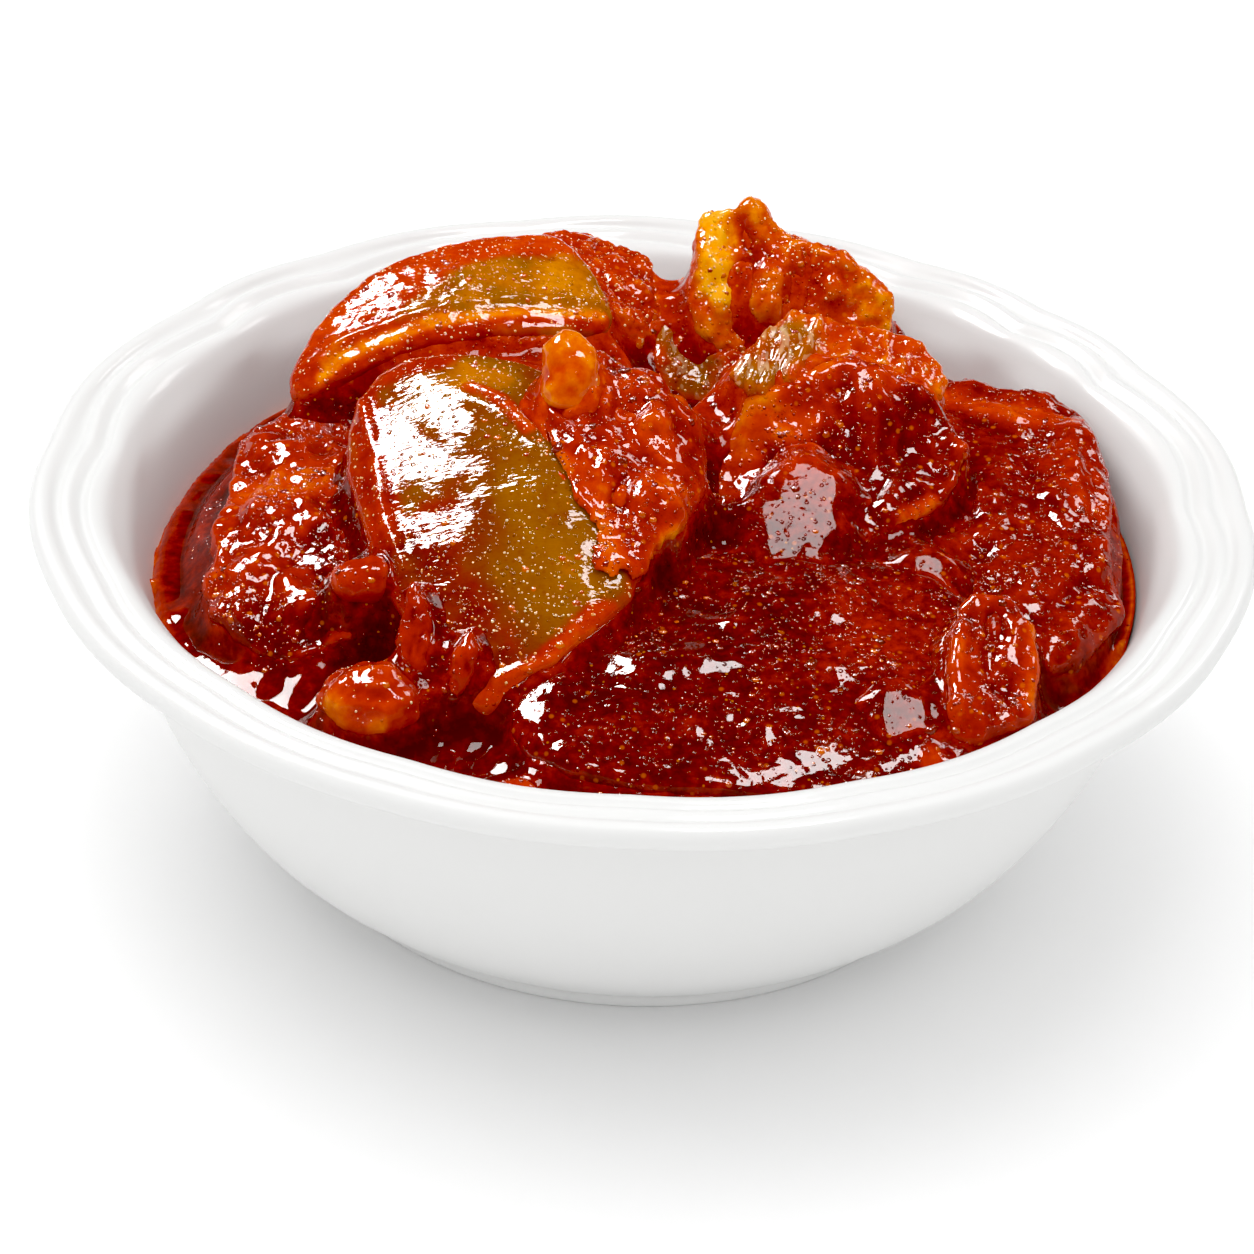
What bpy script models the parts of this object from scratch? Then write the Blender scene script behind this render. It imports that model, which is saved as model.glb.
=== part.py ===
"""A white scalloped porcelain bowl heaped with red lemon pickle.

Frame: metres, +Z up, origin on the table at the middle of the foot ring.
+X is the right of the bowl, +Y its back, and the shown side faces -Y.
Sizes below are in millimetres and are turned into metres when they are used.
"""

import math

import bmesh
import bpy
from mathutils import Euler, Matrix, Vector
from mathutils.bvhtree import BVHTree

MM = 0.001

# ---------------------------------------------------------------- bowl sizes
RIM_RADIUS = 70.0
BEAD_RADIUS = 1.4
BEAD_CENTRE = (RIM_RADIUS - BEAD_RADIUS, 44.15)
FOOT_RADIUS = 39.2
FOOT_HEIGHT = 1.8
FOOT_WIDTH = 3.0
CREASE_RADIUS = 38.6
FLOOR_TOP = 5.2
RECESS = 2.4
BOWL_STEPS = 66
WALL_STEPS = 7

# The outer wall is one cubic curve, from the foot's crease up to the rim.
WALL_CURVE = ((CREASE_RADIUS, FOOT_HEIGHT), (53.6, 10.4), (58.0, 22.7), (60.6, 41.0))

# Bearings of the dips between the scallops, anticlockwise from +X, in degrees.
SCALLOP_DIPS = (2, 30, 45, 61, 83, 105, 128, 146, 176, 203, 226, 248, 270, 292, 314, 337)
EDGE_WAVE = 0.8
RIDGE_WAVE = 1.7
FRONT_WAVE = 0.3

# ---------------------------------------------------------------- food sizes
GAP = 0.35
SAUCE_LEVEL = 34.0
SAUCE_SECTORS = 44
SAUCE_RINGS = 11
SAUCE_CLEARANCE = 0.5

# Name, material, place, turn in degrees, size along X, Y, Z, and taper towards +X.
SMALL_PIECES = (
    ("chilli_strip", "chilli", (-24.2, -31.5, 43.4), (0, -42, 97), (13.0, 4.8, 3.4), 0.35),
    ("chilli_curl", "chilli", (-18.6, -34.9, 42.6), (0, -42, 75), (9.0, 3.4, 2.8), 0.4),
    ("lemon_seed", "seed", (-9.0, -2.8, 61.0), (0, -50, 100), (11.0, 8.4, 7.0), 0.35),
    ("flesh_knob", "seed", (-30.2, -21.6, 44.2), (0, 0, 20), (8.0, 6.5, 6.0), 0.1),
    ("round_chunk", "seed", (-28.2, -37.4, 38.2), (0, 0, -12), (12.6, 10.0, 9.5), 0.1),
    ("small_chunk", "seed", (-12.2, -48.5, 34.6), (0, 0, 0), (6.0, 4.5, 4.5), 0.1),
)

PEEL_THICK = 4.0
EDGE_SHARE = 0.45
CORNER_PUSH = 0.3


# ---------------------------------------------------------------- helpers
def clear_scene():
    """Remove every object that the file starts with."""
    for item in list(bpy.data.objects):
        bpy.data.objects.remove(item, do_unlink=True)


def new_collection(name):
    """Add a collection to the scene."""
    group = bpy.data.collections.new(name)
    bpy.context.scene.collection.children.link(group)
    return group


def finish(name, colour, roughness, metallic=0.0):
    """Make a plain Principled material."""
    material = bpy.data.materials.new(name)
    material.use_nodes = True
    shader = material.node_tree.nodes["Principled BSDF"]
    shader.inputs["Base Color"].default_value = (*colour, 1.0)
    shader.inputs["Roughness"].default_value = roughness
    shader.inputs["Metallic"].default_value = metallic
    material.diffuse_color = (*colour, 1.0)
    return material


def add_object(name, mesh, group, material=None):
    """Put a mesh into a collection as a named object."""
    item = bpy.data.objects.new(name, mesh)
    group.objects.link(item)
    if material:
        mesh.materials.clear()
        mesh.materials.append(material)
    return item


def evaluated_mesh(item):
    """Return the object's mesh in world space, with its modifiers worked out."""
    bpy.context.view_layer.update()
    depsgraph = bpy.context.evaluated_depsgraph_get()
    mesh = bpy.data.meshes.new_from_object(item.evaluated_get(depsgraph))
    mesh.transform(item.matrix_world)
    return mesh


def shade(mesh):
    """Shade smooth, with sharp edges kept at steep corners."""
    mesh.shade_smooth()
    mesh.set_sharp_from_angle(angle=math.radians(50))


# ---------------------------------------------------------------- bowl
def cubic(points, t):
    """Return the point at t on a cubic curve in the (radius, height) plane."""
    corners = [Vector(p) for p in points]
    u = 1.0 - t
    return (corners[0] * u ** 3 + corners[1] * 3 * u * u * t
            + corners[2] * 3 * u * t * t + corners[3] * t ** 3)


def bowl_profile():
    """Half section of the bowl, from the inner floor over the rim to the underside."""
    inside = [(0.0, FLOOR_TOP), (30.0, 5.8), (41.0, 10.4), (50.0, 19.5), (55.0, 29.0),
              (57.2, 35.5), (58.8, 40.4)]
    rim_top = [(61.2, 43.6), (62.8, 44.6), (63.9, 44.2), (65.2, 45.0), (66.5, 44.7), (67.8, 45.35)]
    bead_x, bead_z = BEAD_CENTRE
    bead = [(bead_x + BEAD_RADIUS * math.cos(math.radians(a)),
             bead_z + BEAD_RADIUS * math.sin(math.radians(a))) for a in (80, 35, -10, -50, -100)]
    underside = [(64.2, 42.3), (61.6, 41.7)]
    wall = [tuple(cubic(WALL_CURVE, 1.0 - k / WALL_STEPS)) for k in range(WALL_STEPS + 1)]
    foot_in = FOOT_RADIUS - FOOT_WIDTH
    foot = [(FOOT_RADIUS, 1.3), (FOOT_RADIUS, 0.3), (FOOT_RADIUS - 0.4, 0.0),
            (foot_in, 0.0), (foot_in - 0.8, RECESS - 0.3), (0.0, RECESS)]
    return inside + rim_top + bead + underside + wall + foot


def scallop(bearing):
    """Height of the scallop wave, -0.5 in a dip to 0.5 on a lobe, for a bearing in degrees."""
    bearing = bearing % 360.0
    dips = list(SCALLOP_DIPS) + [SCALLOP_DIPS[0] + 360]
    if bearing < dips[0]:
        bearing += 360.0
    index = max(k for k in range(len(dips) - 1) if dips[k] <= bearing)
    share = (bearing - dips[index]) / (dips[index + 1] - dips[index])
    lobe = math.sin(math.pi * share) ** 1.2 - 0.5
    front = min(max((0.15 - math.sin(math.radians(bearing))) / 0.5, 0.0), 1.0)
    return lobe * (1.0 - (1.0 - FRONT_WAVE) * front)


def wave_size(radius, height):
    """How far the scallops move a point of the section in and out, in millimetres."""
    if height < 40.9 or radius < 58.0:
        return 0.0
    if radius < 61.0:
        return 0.5 * RIDGE_WAVE
    if radius < 66.8:
        return RIDGE_WAVE if height > 43.0 else EDGE_WAVE
    return EDGE_WAVE


def make_bowl(group, material):
    """Turn the section about Z and press the scallops into its rim."""
    mesh = bpy.data.meshes.new("bowl_section")
    points = [Vector((r * MM, 0.0, z * MM)) for r, z in bowl_profile()]
    mesh.from_pydata(points, [(k, k + 1) for k in range(len(points) - 1)], [])
    section = add_object("bowl_section", mesh, group)
    screw = section.modifiers.new("turn", "SCREW")
    screw.steps = BOWL_STEPS
    screw.render_steps = BOWL_STEPS
    screw.use_merge_vertices = True
    screw.merge_threshold = 0.00001
    turned = evaluated_mesh(section)
    bpy.data.objects.remove(section, do_unlink=True)
    for vertex in turned.vertices:
        x, y, z = vertex.co
        radius = math.hypot(x, y) / MM
        size = wave_size(radius, z / MM)
        if size:
            bearing = math.degrees(math.atan2(y, x))
            stretch = (radius + size * scallop(bearing)) / radius
            vertex.co.x = x * stretch
            vertex.co.y = y * stretch
    shade(turned)
    return add_object("bowl", turned, group, material)


# ---------------------------------------------------------------- lemon pieces
class Form:
    """How a flat cut of lemon is bent: a dome, creases and rolled edges."""

    def __init__(self, dome=(0.0, 0.0), creases=(), curls=()):
        self.dome = dome
        self.creases = creases
        self.curls = curls

    def bend(self, x, y):
        """Return where the flat point (x, y) goes, all in millimetres."""
        z = -0.5 * (self.dome[0] * x * x + self.dome[1] * y * y) / 1000.0
        for cx, cy, bearing, height, width in self.creases:
            a = math.radians(bearing)
            away = (x - cx) * math.sin(a) - (y - cy) * math.cos(a)
            z += height * math.exp(-(away / width) ** 2)
        point = Vector((x, y, z))
        for bearing, start, radius in self.curls:
            a = math.radians(bearing)
            along = point.x * math.cos(a) + point.y * math.sin(a) - start
            if along > 0.0:
                turn = min(along / abs(radius), math.radians(200))
                rolled = abs(radius) * math.sin(turn)
                lift = radius * (1.0 - math.cos(turn))
                point.x += (rolled - along) * math.cos(a)
                point.y += (rolled - along) * math.sin(a)
                point.z += lift
        return point


def firm(outline):
    """Push each corner out by what softening the mesh will draw it in."""
    points = [Vector(p) for p in outline]
    count = len(points)
    middles = [(points[k - 1] + points[(k + 1) % count]) / 2.0 for k in range(count)]
    return [point + (point - middle) * CORNER_PUSH for point, middle in zip(points, middles)]


def sheet_cage(name, outline, form, rings):
    """Build the open sheet inside an outline: a centre, rings, then the edge."""
    outline = firm(outline)
    centre = sum(outline, Vector((0.0, 0.0))) / len(outline)
    bm = bmesh.new()
    hub = bm.verts.new(form.bend(*centre) * MM)
    loops = []
    for share in rings:
        spots = [centre.lerp(corner, share) for corner in outline]
        loops.append([bm.verts.new(form.bend(*s) * MM) for s in spots])
    count = len(outline)
    for k in range(count):
        after = (k + 1) % count
        bm.faces.new((hub, loops[0][k], loops[0][after]))
        for inner, outer in zip(loops, loops[1:]):
            bm.faces.new((inner[k], outer[k], outer[after], inner[after]))
    bm.normal_update()
    if sum(f.normal.z * f.calc_area() for f in bm.faces) < 0.0:
        bmesh.ops.reverse_faces(bm, faces=bm.faces)
    mesh = bpy.data.meshes.new(name)
    bm.to_mesh(mesh)
    bm.free()
    return mesh


def add_lumps(item, height, size):
    """Roughen a piece with soft lumps of the masala that coats it."""
    texture = bpy.data.textures.new(item.name + "_lumps", "CLOUDS")
    texture.noise_scale = size * MM
    texture.noise_depth = 1
    lumps = item.modifiers.new("lumps", "DISPLACE")
    lumps.texture = texture
    lumps.texture_coords = "LOCAL"
    lumps.strength = height * MM
    lumps.mid_level = 0.5


def make_piece(group, material, name, outline, place, turn, form,
               thick=PEEL_THICK, edge=EDGE_SHARE, rings=(0.5, 0.85, 1.0), lumps=(0.8, 5.0)):
    """Make one cut piece: a bent sheet, thick in the middle and thin at its edge."""
    mesh = sheet_cage(name, outline, form, rings)
    item = add_object(name, mesh, group, material)
    item.location = Vector(place) * MM
    item.rotation_euler = Euler([math.radians(a) for a in turn])
    body = item.vertex_groups.new(name="body")
    count = len(outline)
    edge_start = 1 + count * (len(rings) - 1)
    body.add(range(edge_start), 1.0, "REPLACE")
    body.add(range(edge_start, edge_start + count), edge, "REPLACE")
    solid = item.modifiers.new("thickness", "SOLIDIFY")
    solid.thickness = thick * MM
    solid.offset = -1.0
    solid.vertex_group = "body"
    soft = item.modifiers.new("soften", "SUBSURF")
    soft.levels = 1
    soft.render_levels = 1
    add_lumps(item, *lumps)
    return item


def make_pip(group, material, name, place, turn, size, taper=0.0):
    """Make a rounded seed or clove, narrower towards its +X end."""
    bm = bmesh.new()
    bmesh.ops.create_icosphere(bm, subdivisions=2, radius=1.0)
    for vertex in bm.verts:
        x, y, z = vertex.co
        narrow = 1.0 - taper * (x + 1.0) / 2.0
        vertex.co = Vector((x * size[0], y * size[1] * narrow, z * size[2] * narrow)) * (0.5 * MM)
    mesh = bpy.data.meshes.new(name)
    bm.to_mesh(mesh)
    bm.free()
    item = add_object(name, mesh, group, material)
    item.location = Vector(place) * MM
    item.rotation_euler = Euler([math.radians(a) for a in turn])
    return item


# ---------------------------------------------------------------- fitting
def settle(item):
    """Fix an object's mesh in world space and keep only its largest shell."""
    mesh = evaluated_mesh(item)
    bm = bmesh.new()
    bm.from_mesh(mesh)
    unseen = set(bm.verts)
    shells = []
    while unseen:
        shell = {unseen.pop()}
        front = list(shell)
        while front:
            vertex = front.pop()
            for edge in vertex.link_edges:
                other = edge.other_vert(vertex)
                if other in unseen:
                    unseen.remove(other)
                    shell.add(other)
                    front.append(other)
        shells.append(shell)
    shells.sort(key=len, reverse=True)
    scraps = [vertex for shell in shells[1:] for vertex in shell]
    bmesh.ops.delete(bm, geom=scraps, context="VERTS")
    bmesh.ops.triangulate(bm, faces=bm.faces)
    bm.to_mesh(mesh)
    bm.free()
    shade(mesh)
    item.modifiers.clear()
    item.matrix_world = Matrix.Identity(4)
    item.data = mesh
    return item


def grown_copy(item, group, gap=GAP):
    """Copy a settled piece and swell it by the gap, to cut its neighbours."""
    mesh = item.data.copy()
    bm = bmesh.new()
    bm.from_mesh(mesh)
    bm.normal_update()
    steps = [(vertex, vertex.normal * gap * MM) for vertex in bm.verts]
    for vertex, step in steps:
        vertex.co += step
    bm.to_mesh(mesh)
    bm.free()
    cutter = add_object(item.name + "_room", mesh, group)
    cutter.hide_render = True
    cutter.display_type = "WIRE"
    return cutter


def surface_tree(item):
    """Return a search tree over a settled object's faces."""
    corners = [v.co for v in item.data.vertices]
    return BVHTree.FromPolygons(corners, [p.vertices for p in item.data.polygons])


def make_room(item, placed, cutters):
    """Cut a piece clear of each piece already placed that it would press into."""
    for neighbour in placed:
        cutter = grown_copy(neighbour, cutters)
        if surface_tree(item).overlap(surface_tree(cutter)):
            cut = item.modifiers.new("clear_of_" + neighbour.name, "BOOLEAN")
            cut.operation = "DIFFERENCE"
            cut.solver = "MANIFOLD"
            cut.object = cutter
            settle(item)
        bpy.data.objects.remove(cutter, do_unlink=True)


# ---------------------------------------------------------------- sauce
def wall_inside(height):
    """Inner radius of the bowl at a height, read from its section."""
    inside = bowl_profile()[:7]
    for (r0, z0), (r1, z1) in zip(inside, inside[1:]):
        if z0 <= height <= z1:
            return r0 + (r1 - r0) * (height - z0) / (z1 - z0)
    return inside[-1][0]


def underside(trees, x, y, reach):
    """Lowest height of the pieces over a small patch round (x, y), or None if it is open."""
    heights = []
    for step_x in (-reach, 0.0, reach):
        for step_y in (-reach, 0.0, reach):
            start = Vector(((x + step_x) * MM, (y + step_y) * MM, 0.0))
            hits = [tree.ray_cast(start, Vector((0.0, 0.0, 1.0)))[0] for tree in trees]
            heights += [hit.z / MM for hit in hits if hit]
    return min(heights) if heights else None


def sauce_heights(pieces):
    """Heights of the sauce: level at the wall, and drawn up under the pieces it carries."""
    trees = [surface_tree(piece) for piece in pieces]
    edge = wall_inside(SAUCE_LEVEL) - GAP
    reach = 0.5 * edge / SAUCE_RINGS
    spots = {}
    heights = {}
    held = set()
    for ring in range(1, SAUCE_RINGS + 1):
        radius = edge * ring / SAUCE_RINGS
        for sector in range(SAUCE_SECTORS):
            a = math.tau * sector / SAUCE_SECTORS
            spot = (radius * math.cos(a), radius * math.sin(a))
            under = underside(trees, *spot, reach)
            spots[ring, sector] = spot
            heights[ring, sector] = SAUCE_LEVEL
            if under is not None and ring < SAUCE_RINGS:
                heights[ring, sector] = max(SAUCE_LEVEL, under - SAUCE_CLEARANCE)
            if under is not None or ring == SAUCE_RINGS:
                held.add((ring, sector))
    free = [spot for spot in spots if spot not in held]
    for _ in range(150):
        for ring, sector in free:
            around = [(ring, (sector + 1) % SAUCE_SECTORS), (ring, (sector - 1) % SAUCE_SECTORS),
                      (ring + 1, sector), (max(ring - 1, 1), sector)]
            heights[ring, sector] = sum(heights[spot] for spot in around) / len(around)
    return spots, heights


def make_sauce(group, material, pieces):
    """Make the sauce that fills the bowl to its level and rises between the pieces."""
    spots, heights = sauce_heights(pieces)
    bm = bmesh.new()
    centre_height = sum(heights[1, s] for s in range(SAUCE_SECTORS)) / SAUCE_SECTORS
    top = bm.verts.new(Vector((0.0, 0.0, centre_height)) * MM)
    loops = []
    for ring in range(1, SAUCE_RINGS + 1):
        loops.append([bm.verts.new(Vector((*spots[ring, s], heights[ring, s])) * MM)
                      for s in range(SAUCE_SECTORS)])
    inside = [p for p in reversed(bowl_profile()[1:7]) if p[1] < SAUCE_LEVEL - 1.0]
    for radius, height in inside:
        corners = [math.tau * s / SAUCE_SECTORS for s in range(SAUCE_SECTORS)]
        loops.append([bm.verts.new(Vector(((radius - GAP) * math.cos(a),
                                           (radius - GAP) * math.sin(a), height + GAP)) * MM)
                      for a in corners])
    bottom = bm.verts.new(Vector((0.0, 0.0, FLOOR_TOP + GAP)) * MM)
    for s in range(SAUCE_SECTORS):
        after = (s + 1) % SAUCE_SECTORS
        bm.faces.new((top, loops[0][s], loops[0][after]))
        for inner, outer in zip(loops, loops[1:]):
            bm.faces.new((inner[s], outer[s], outer[after], inner[after]))
        bm.faces.new((bottom, loops[-1][after], loops[-1][s]))
    mesh = bpy.data.meshes.new("sauce")
    bm.to_mesh(mesh)
    bm.free()
    return add_object("sauce", mesh, group, material)


# ---------------------------------------------------------------- the dish
def large_piece(group, materials):
    """The largest piece, rind up, leaning at the front left."""
    outline = [(-18, 24), (-12, 30), (-2, 28), (7, 24), (15, 14), (17, 2), (15, -9), (6, -16),
               (-2, -23), (-7, -17), (-13, -7), (-19, 14)]
    form = Form(dome=(18, 10), creases=[(1, 12, -52, 1.2, 4)])
    return make_piece(group, materials["rind"], "lemon_large", outline, (-15.7, -20.2, 50.5),
                      (25, -8, 0), form, thick=4.5, edge=0.7, lumps=(0.6, 6.0))


def large_piece_flesh(group, materials):
    """The flesh folded over the right side of the largest piece."""
    outline = [(-15, 10), (-6, 14), (1, 11), (7, 8), (9.5, -4), (4, -13), (2.5, -19), (-3, -18),
               (-6, -8)]
    form = Form(dome=(24, 10), creases=[(2, 0, -75, 1.5, 3)])
    return make_piece(group, materials["flesh"], "lemon_large_flesh", outline,
                      (-0.8, -9.7, 56.4), (20, 15, 0), form, thick=6.0, rings=(0.6, 1.0),
                      lumps=(3.0, 4.0))


def long_slice(group, materials):
    """The long slice at the back left, rind up, with its cut edge to the front."""
    outline = [(-23, -5.5), (-16, -7), (-8, -6.5), (2, -7.5), (11, -8.5), (17.5, -8.5), (19, -3),
               (17, 6), (13, 10), (2, 10), (-9, 8), (-18, 2)]
    form = Form(dome=(20, 35))
    return make_piece(group, materials["rind"], "lemon_long_slice", outline,
                      (-24.1, 21.9, 58.0), (18, -10, 16), form, thick=4.0, edge=0.85,
                      lumps=(0.8, 6.0))


def back_lump(group, materials):
    """The grainy lump behind the long slice."""
    outline = [(-9, 13), (-2, 14), (3, 9), (7, 4), (9, -3), (6, -9), (-1, -9), (-9, -2), (-12, 6)]
    form = Form(dome=(45, 45))
    return make_piece(group, materials["flesh"], "lemon_back_lump", outline,
                      (-6.0, 33.0, 56.0), (8, 10, 0), form, thick=6.0, rings=(0.6, 1.0),
                      lumps=(3.6, 4.0))


def twisted_piece(group, materials):
    """The twisted piece standing at the back, with its two tips up."""
    outline = [(-12.5, 4.5), (-8, 5), (-6, 7), (0, 4), (9, 3.5), (14, -2.5), (12, -9), (4, -12),
               (-4, -12), (-11, -8)]
    form = Form(dome=(6, 6), creases=[(-10, 0, 82, 2.5, 2.5), (1, 0, 60, 1.8, 3),
                                      (8, 0, 110, -1.5, 3)])
    return make_piece(group, materials["flesh"], "lemon_twisted", outline, (16.2, 32.0, 57.0),
                      (50, 10, -10), form, thick=5.0, lumps=(2.8, 4.0))


def hollow_piece(group, materials):
    """The hollow piece between the lump and the twisted piece."""
    outline = [(1, 12), (-3, 6), (-6, -2), (-4, -7.5), (0.5, -10), (6, -9), (7, -1), (6, 6)]
    form = Form(dome=(14, 14), creases=[(1, -4, 80, -2.2, 3)])
    return make_piece(group, materials["rind"], "lemon_hollow", outline, (4.5, 28.0, 51.4),
                      (25, -12, 0), form, thick=5.0, rings=(0.6, 1.0), lumps=(2.4, 4.5))


def curled_piece(group, materials):
    """The piece right of the middle, sloping to the front, with a lifted lip on its right."""
    outline = [(-12, 6), (-8.5, 9), (-5.5, 13.5), (1, 15.5), (6.5, 12.5), (12, 11), (15.5, 5),
               (12.5, -3), (7.5, -8), (0, -11.5), (-4, -15), (-10.5, -11.5), (-15.5, -2)]
    form = Form(dome=(12, 10), creases=[(-4, -6, 80, 1.6, 4), (3, 3, 5, -3.0, 4.5)],
                curls=[(0, 10, 7)])
    return make_piece(group, materials["flesh"], "lemon_curled", outline, (22.1, -1.2, 50.3),
                      (32, 4, 0), form, thick=5.5, lumps=(3.0, 5.0))


def flap(group, materials):
    """The flap of rind and flesh that lies over the back of the curled piece."""
    outline = [(-14.5, -8), (-12.5, -2), (-9.5, 4), (-4, 6), (2, 5), (7, 5), (11, 2), (12, -4),
               (5, -7), (-5, -8)]
    form = Form(dome=(14, 14), creases=[(-9, 0, 60, 1.5, 3)])
    return make_piece(group, materials["rind"], "lemon_flap", outline, (23.0, 13.6, 57.0),
                      (14, 6, 0), form, thick=4.0, rings=(0.6, 1.0), lumps=(2.4, 4.0))


def broad_right_piece(group, materials):
    """The broad grainy piece that lies against the right wall."""
    outline = [(-10, 30), (-2, 27), (8.5, 25), (10.5, 12), (10, -5), (11, -14), (8, -21),
               (2, -27), (-6, -20), (-15, -13), (-13, 4)]
    form = Form(dome=(14, 8), creases=[(4, -4, 84, 1.2, 3.5)])
    return make_piece(group, materials["flesh"], "lemon_broad_right", outline,
                      (44.5, 1.0, 44.4), (8, 6, 0), form, thick=6.0, lumps=(3.2, 4.5))


def folded_piece(group, materials):
    """The small folded piece at the front right."""
    outline = [(-4, 8), (0, 9.5), (4, 9), (5.5, 0), (5.5, -6), (0, -10), (-4, -11), (-5.5, -4)]
    form = Form(dome=(60, 10))
    return make_piece(group, materials["flesh"], "lemon_folded", outline, (38.4, -31.3, 43.6),
                      (25, 8, 0), form, thick=5.0, rings=(0.6, 1.0), lumps=(2.2, 4.0))


def broad_front_piece(group, materials):
    """The broad masala-coated piece across the front."""
    outline = [(-19, 4), (-10, 17), (3, 24), (18, 24), (29, 18), (30, 4), (27, -9), (13, -14.5),
               (-2, -15.5), (-16, -13.5), (-24, -7)]
    form = Form(dome=(5, 8))
    return make_piece(group, materials["masala"], "lemon_broad_front", outline,
                      (9.1, -35.3, 42.0), (14, 0, 0), form, thick=5.0, lumps=(2.4, 5.0))


def left_piece(group, materials):
    """The red piece that sinks into the sauce on the left."""
    outline = [(5, 26), (-2, 25), (-8, 20), (-8, 8), (-10, -2), (-9, -12), (-2, -18), (5, -18),
               (10, -14), (12, -7), (9, 9)]
    form = Form(dome=(25, 12), creases=[(2, -2, 30, 1.5, 5)])
    return make_piece(group, materials["flesh"], "lemon_left", outline, (-40.4, -10.7, 43.5),
                      (12, -10, 0), form, thick=6.0, lumps=(3.6, 5.0))


def main():
    """Build the bowl, the pieces of lemon, then the sauce round them."""
    clear_scene()
    group = new_collection("lemon_pickle_bowl")
    cutters = new_collection("cutters")
    porcelain = finish("white_glazed_porcelain", (0.86, 0.86, 0.85), 0.12)
    materials = {
        "rind": finish("olive_lemon_rind", (0.30, 0.17, 0.012), 0.18),
        "flesh": finish("red_lemon_flesh", (0.40, 0.035, 0.006), 0.2),
        "masala": finish("red_masala", (0.27, 0.012, 0.004), 0.2),
        "sauce": finish("dark_red_oil", (0.20, 0.008, 0.003), 0.08),
        "seed": finish("amber_seed", (0.50, 0.09, 0.01), 0.15),
        "chilli": finish("chilli_skin", (0.32, 0.02, 0.006), 0.15),
    }
    make_bowl(group, porcelain)
    placed = []
    makers = (large_piece, large_piece_flesh, long_slice, curled_piece, flap, folded_piece,
              broad_right_piece, left_piece, back_lump, twisted_piece, hollow_piece,
              broad_front_piece)
    for maker in makers:
        item = settle(maker(group, materials))
        make_room(item, placed, cutters)
        placed.append(item)
    for name, kind, place, turn, size, taper in SMALL_PIECES:
        item = settle(make_pip(group, materials[kind], name, place, turn, size, taper))
        make_room(item, placed, cutters)
        placed.append(item)
    sauce = make_sauce(group, materials["sauce"], placed)
    make_room(sauce, placed, cutters)


if __name__ == "__main__":
    main()
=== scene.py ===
"""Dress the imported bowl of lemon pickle: glazed porcelain, rind, flesh, masala, oil and spice.

Metres, +Z up, origin on the table at the middle of the foot ring. The shown side faces -Y.
Sizes in the tables below are in millimetres.
"""

import math

import bpy
import mathutils
import numpy as np
from bpy.props import FloatProperty, FloatVectorProperty, IntProperty, PointerProperty
from bpy.types import Operator, Panel, PropertyGroup
from mathutils import Matrix, Vector


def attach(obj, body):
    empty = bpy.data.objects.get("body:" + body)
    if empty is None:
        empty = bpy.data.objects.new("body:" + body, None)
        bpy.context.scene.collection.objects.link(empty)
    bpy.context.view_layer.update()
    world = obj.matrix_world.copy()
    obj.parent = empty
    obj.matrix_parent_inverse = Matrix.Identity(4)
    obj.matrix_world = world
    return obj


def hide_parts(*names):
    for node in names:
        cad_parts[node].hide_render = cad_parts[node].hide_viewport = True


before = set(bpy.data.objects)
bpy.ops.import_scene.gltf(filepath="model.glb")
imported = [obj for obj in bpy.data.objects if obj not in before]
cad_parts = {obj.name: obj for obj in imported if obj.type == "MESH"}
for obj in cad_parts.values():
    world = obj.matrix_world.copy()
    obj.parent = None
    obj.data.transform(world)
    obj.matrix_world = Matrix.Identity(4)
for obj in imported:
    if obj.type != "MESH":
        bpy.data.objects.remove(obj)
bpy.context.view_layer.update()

bl_info = {
    "name": "Lemon Pickle Bowl",
    "version": (1, 0, 0),
    "blender": (4, 5, 0),
    "location": "View3D > Sidebar > Pickle",
    "description": "Dresses a bowl of lemon pickle with porcelain, rind, flesh, masala and oil",
    "category": "Object",
}

MM = 0.001

# Bowl section, inner floor to underside: radius, height, and 1 where a corner stays sharp.
BOWL_SECTION = (
    (0.0, 5.2, 0), (15.0, 5.35, 0), (30.0, 5.8, 0), (41.0, 10.4, 0), (50.0, 19.5, 0),
    (55.0, 29.0, 0), (57.2, 35.5, 0), (58.8, 40.4, 0), (60.4, 43.0, 0), (61.6, 44.25, 0),
    (62.8, 44.6, 0), (63.35, 44.35, 0), (63.9, 44.15, 0), (64.5, 44.6, 0), (65.2, 45.0, 0),
    (65.9, 44.9, 0), (66.5, 44.65, 0), (67.1, 44.85, 0), (67.8, 45.35, 0), (68.6, 45.55, 0),
    (69.5, 45.2, 0), (70.0, 44.2, 0), (69.6, 43.1, 0), (68.4, 42.75, 0), (66.0, 42.6, 0),
    (64.2, 42.3, 0), (61.9, 41.8, 0), (60.7, 40.6, 0), (60.25, 37.5, 0), (59.4, 32.0, 0),
    (57.4, 25.0, 0), (54.0, 17.8, 0), (49.2, 10.6, 0), (43.4, 4.9, 0), (39.6, 2.3, 0),
    (38.7, 1.85, 1), (39.1, 1.5, 0), (39.2, 0.9, 0), (39.1, 0.3, 0), (38.8, 0.0, 1),
    (36.2, 0.0, 1), (35.8, 1.0, 0), (35.4, 2.1, 0), (34.6, 2.4, 1), (18.0, 2.4, 0),
    (0.0, 2.4, 0),
)
# Bearings of the dips between the scallops, in degrees, and how much of the scallops' wave is
# left along the front, where the rim is nearly smooth.
SCALLOP_DIPS = (2, 30, 45, 61, 83, 105, 128, 146, 176, 203, 226, 248, 270, 292, 314, 337)
FRONT_WAVE = 0.3

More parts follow.
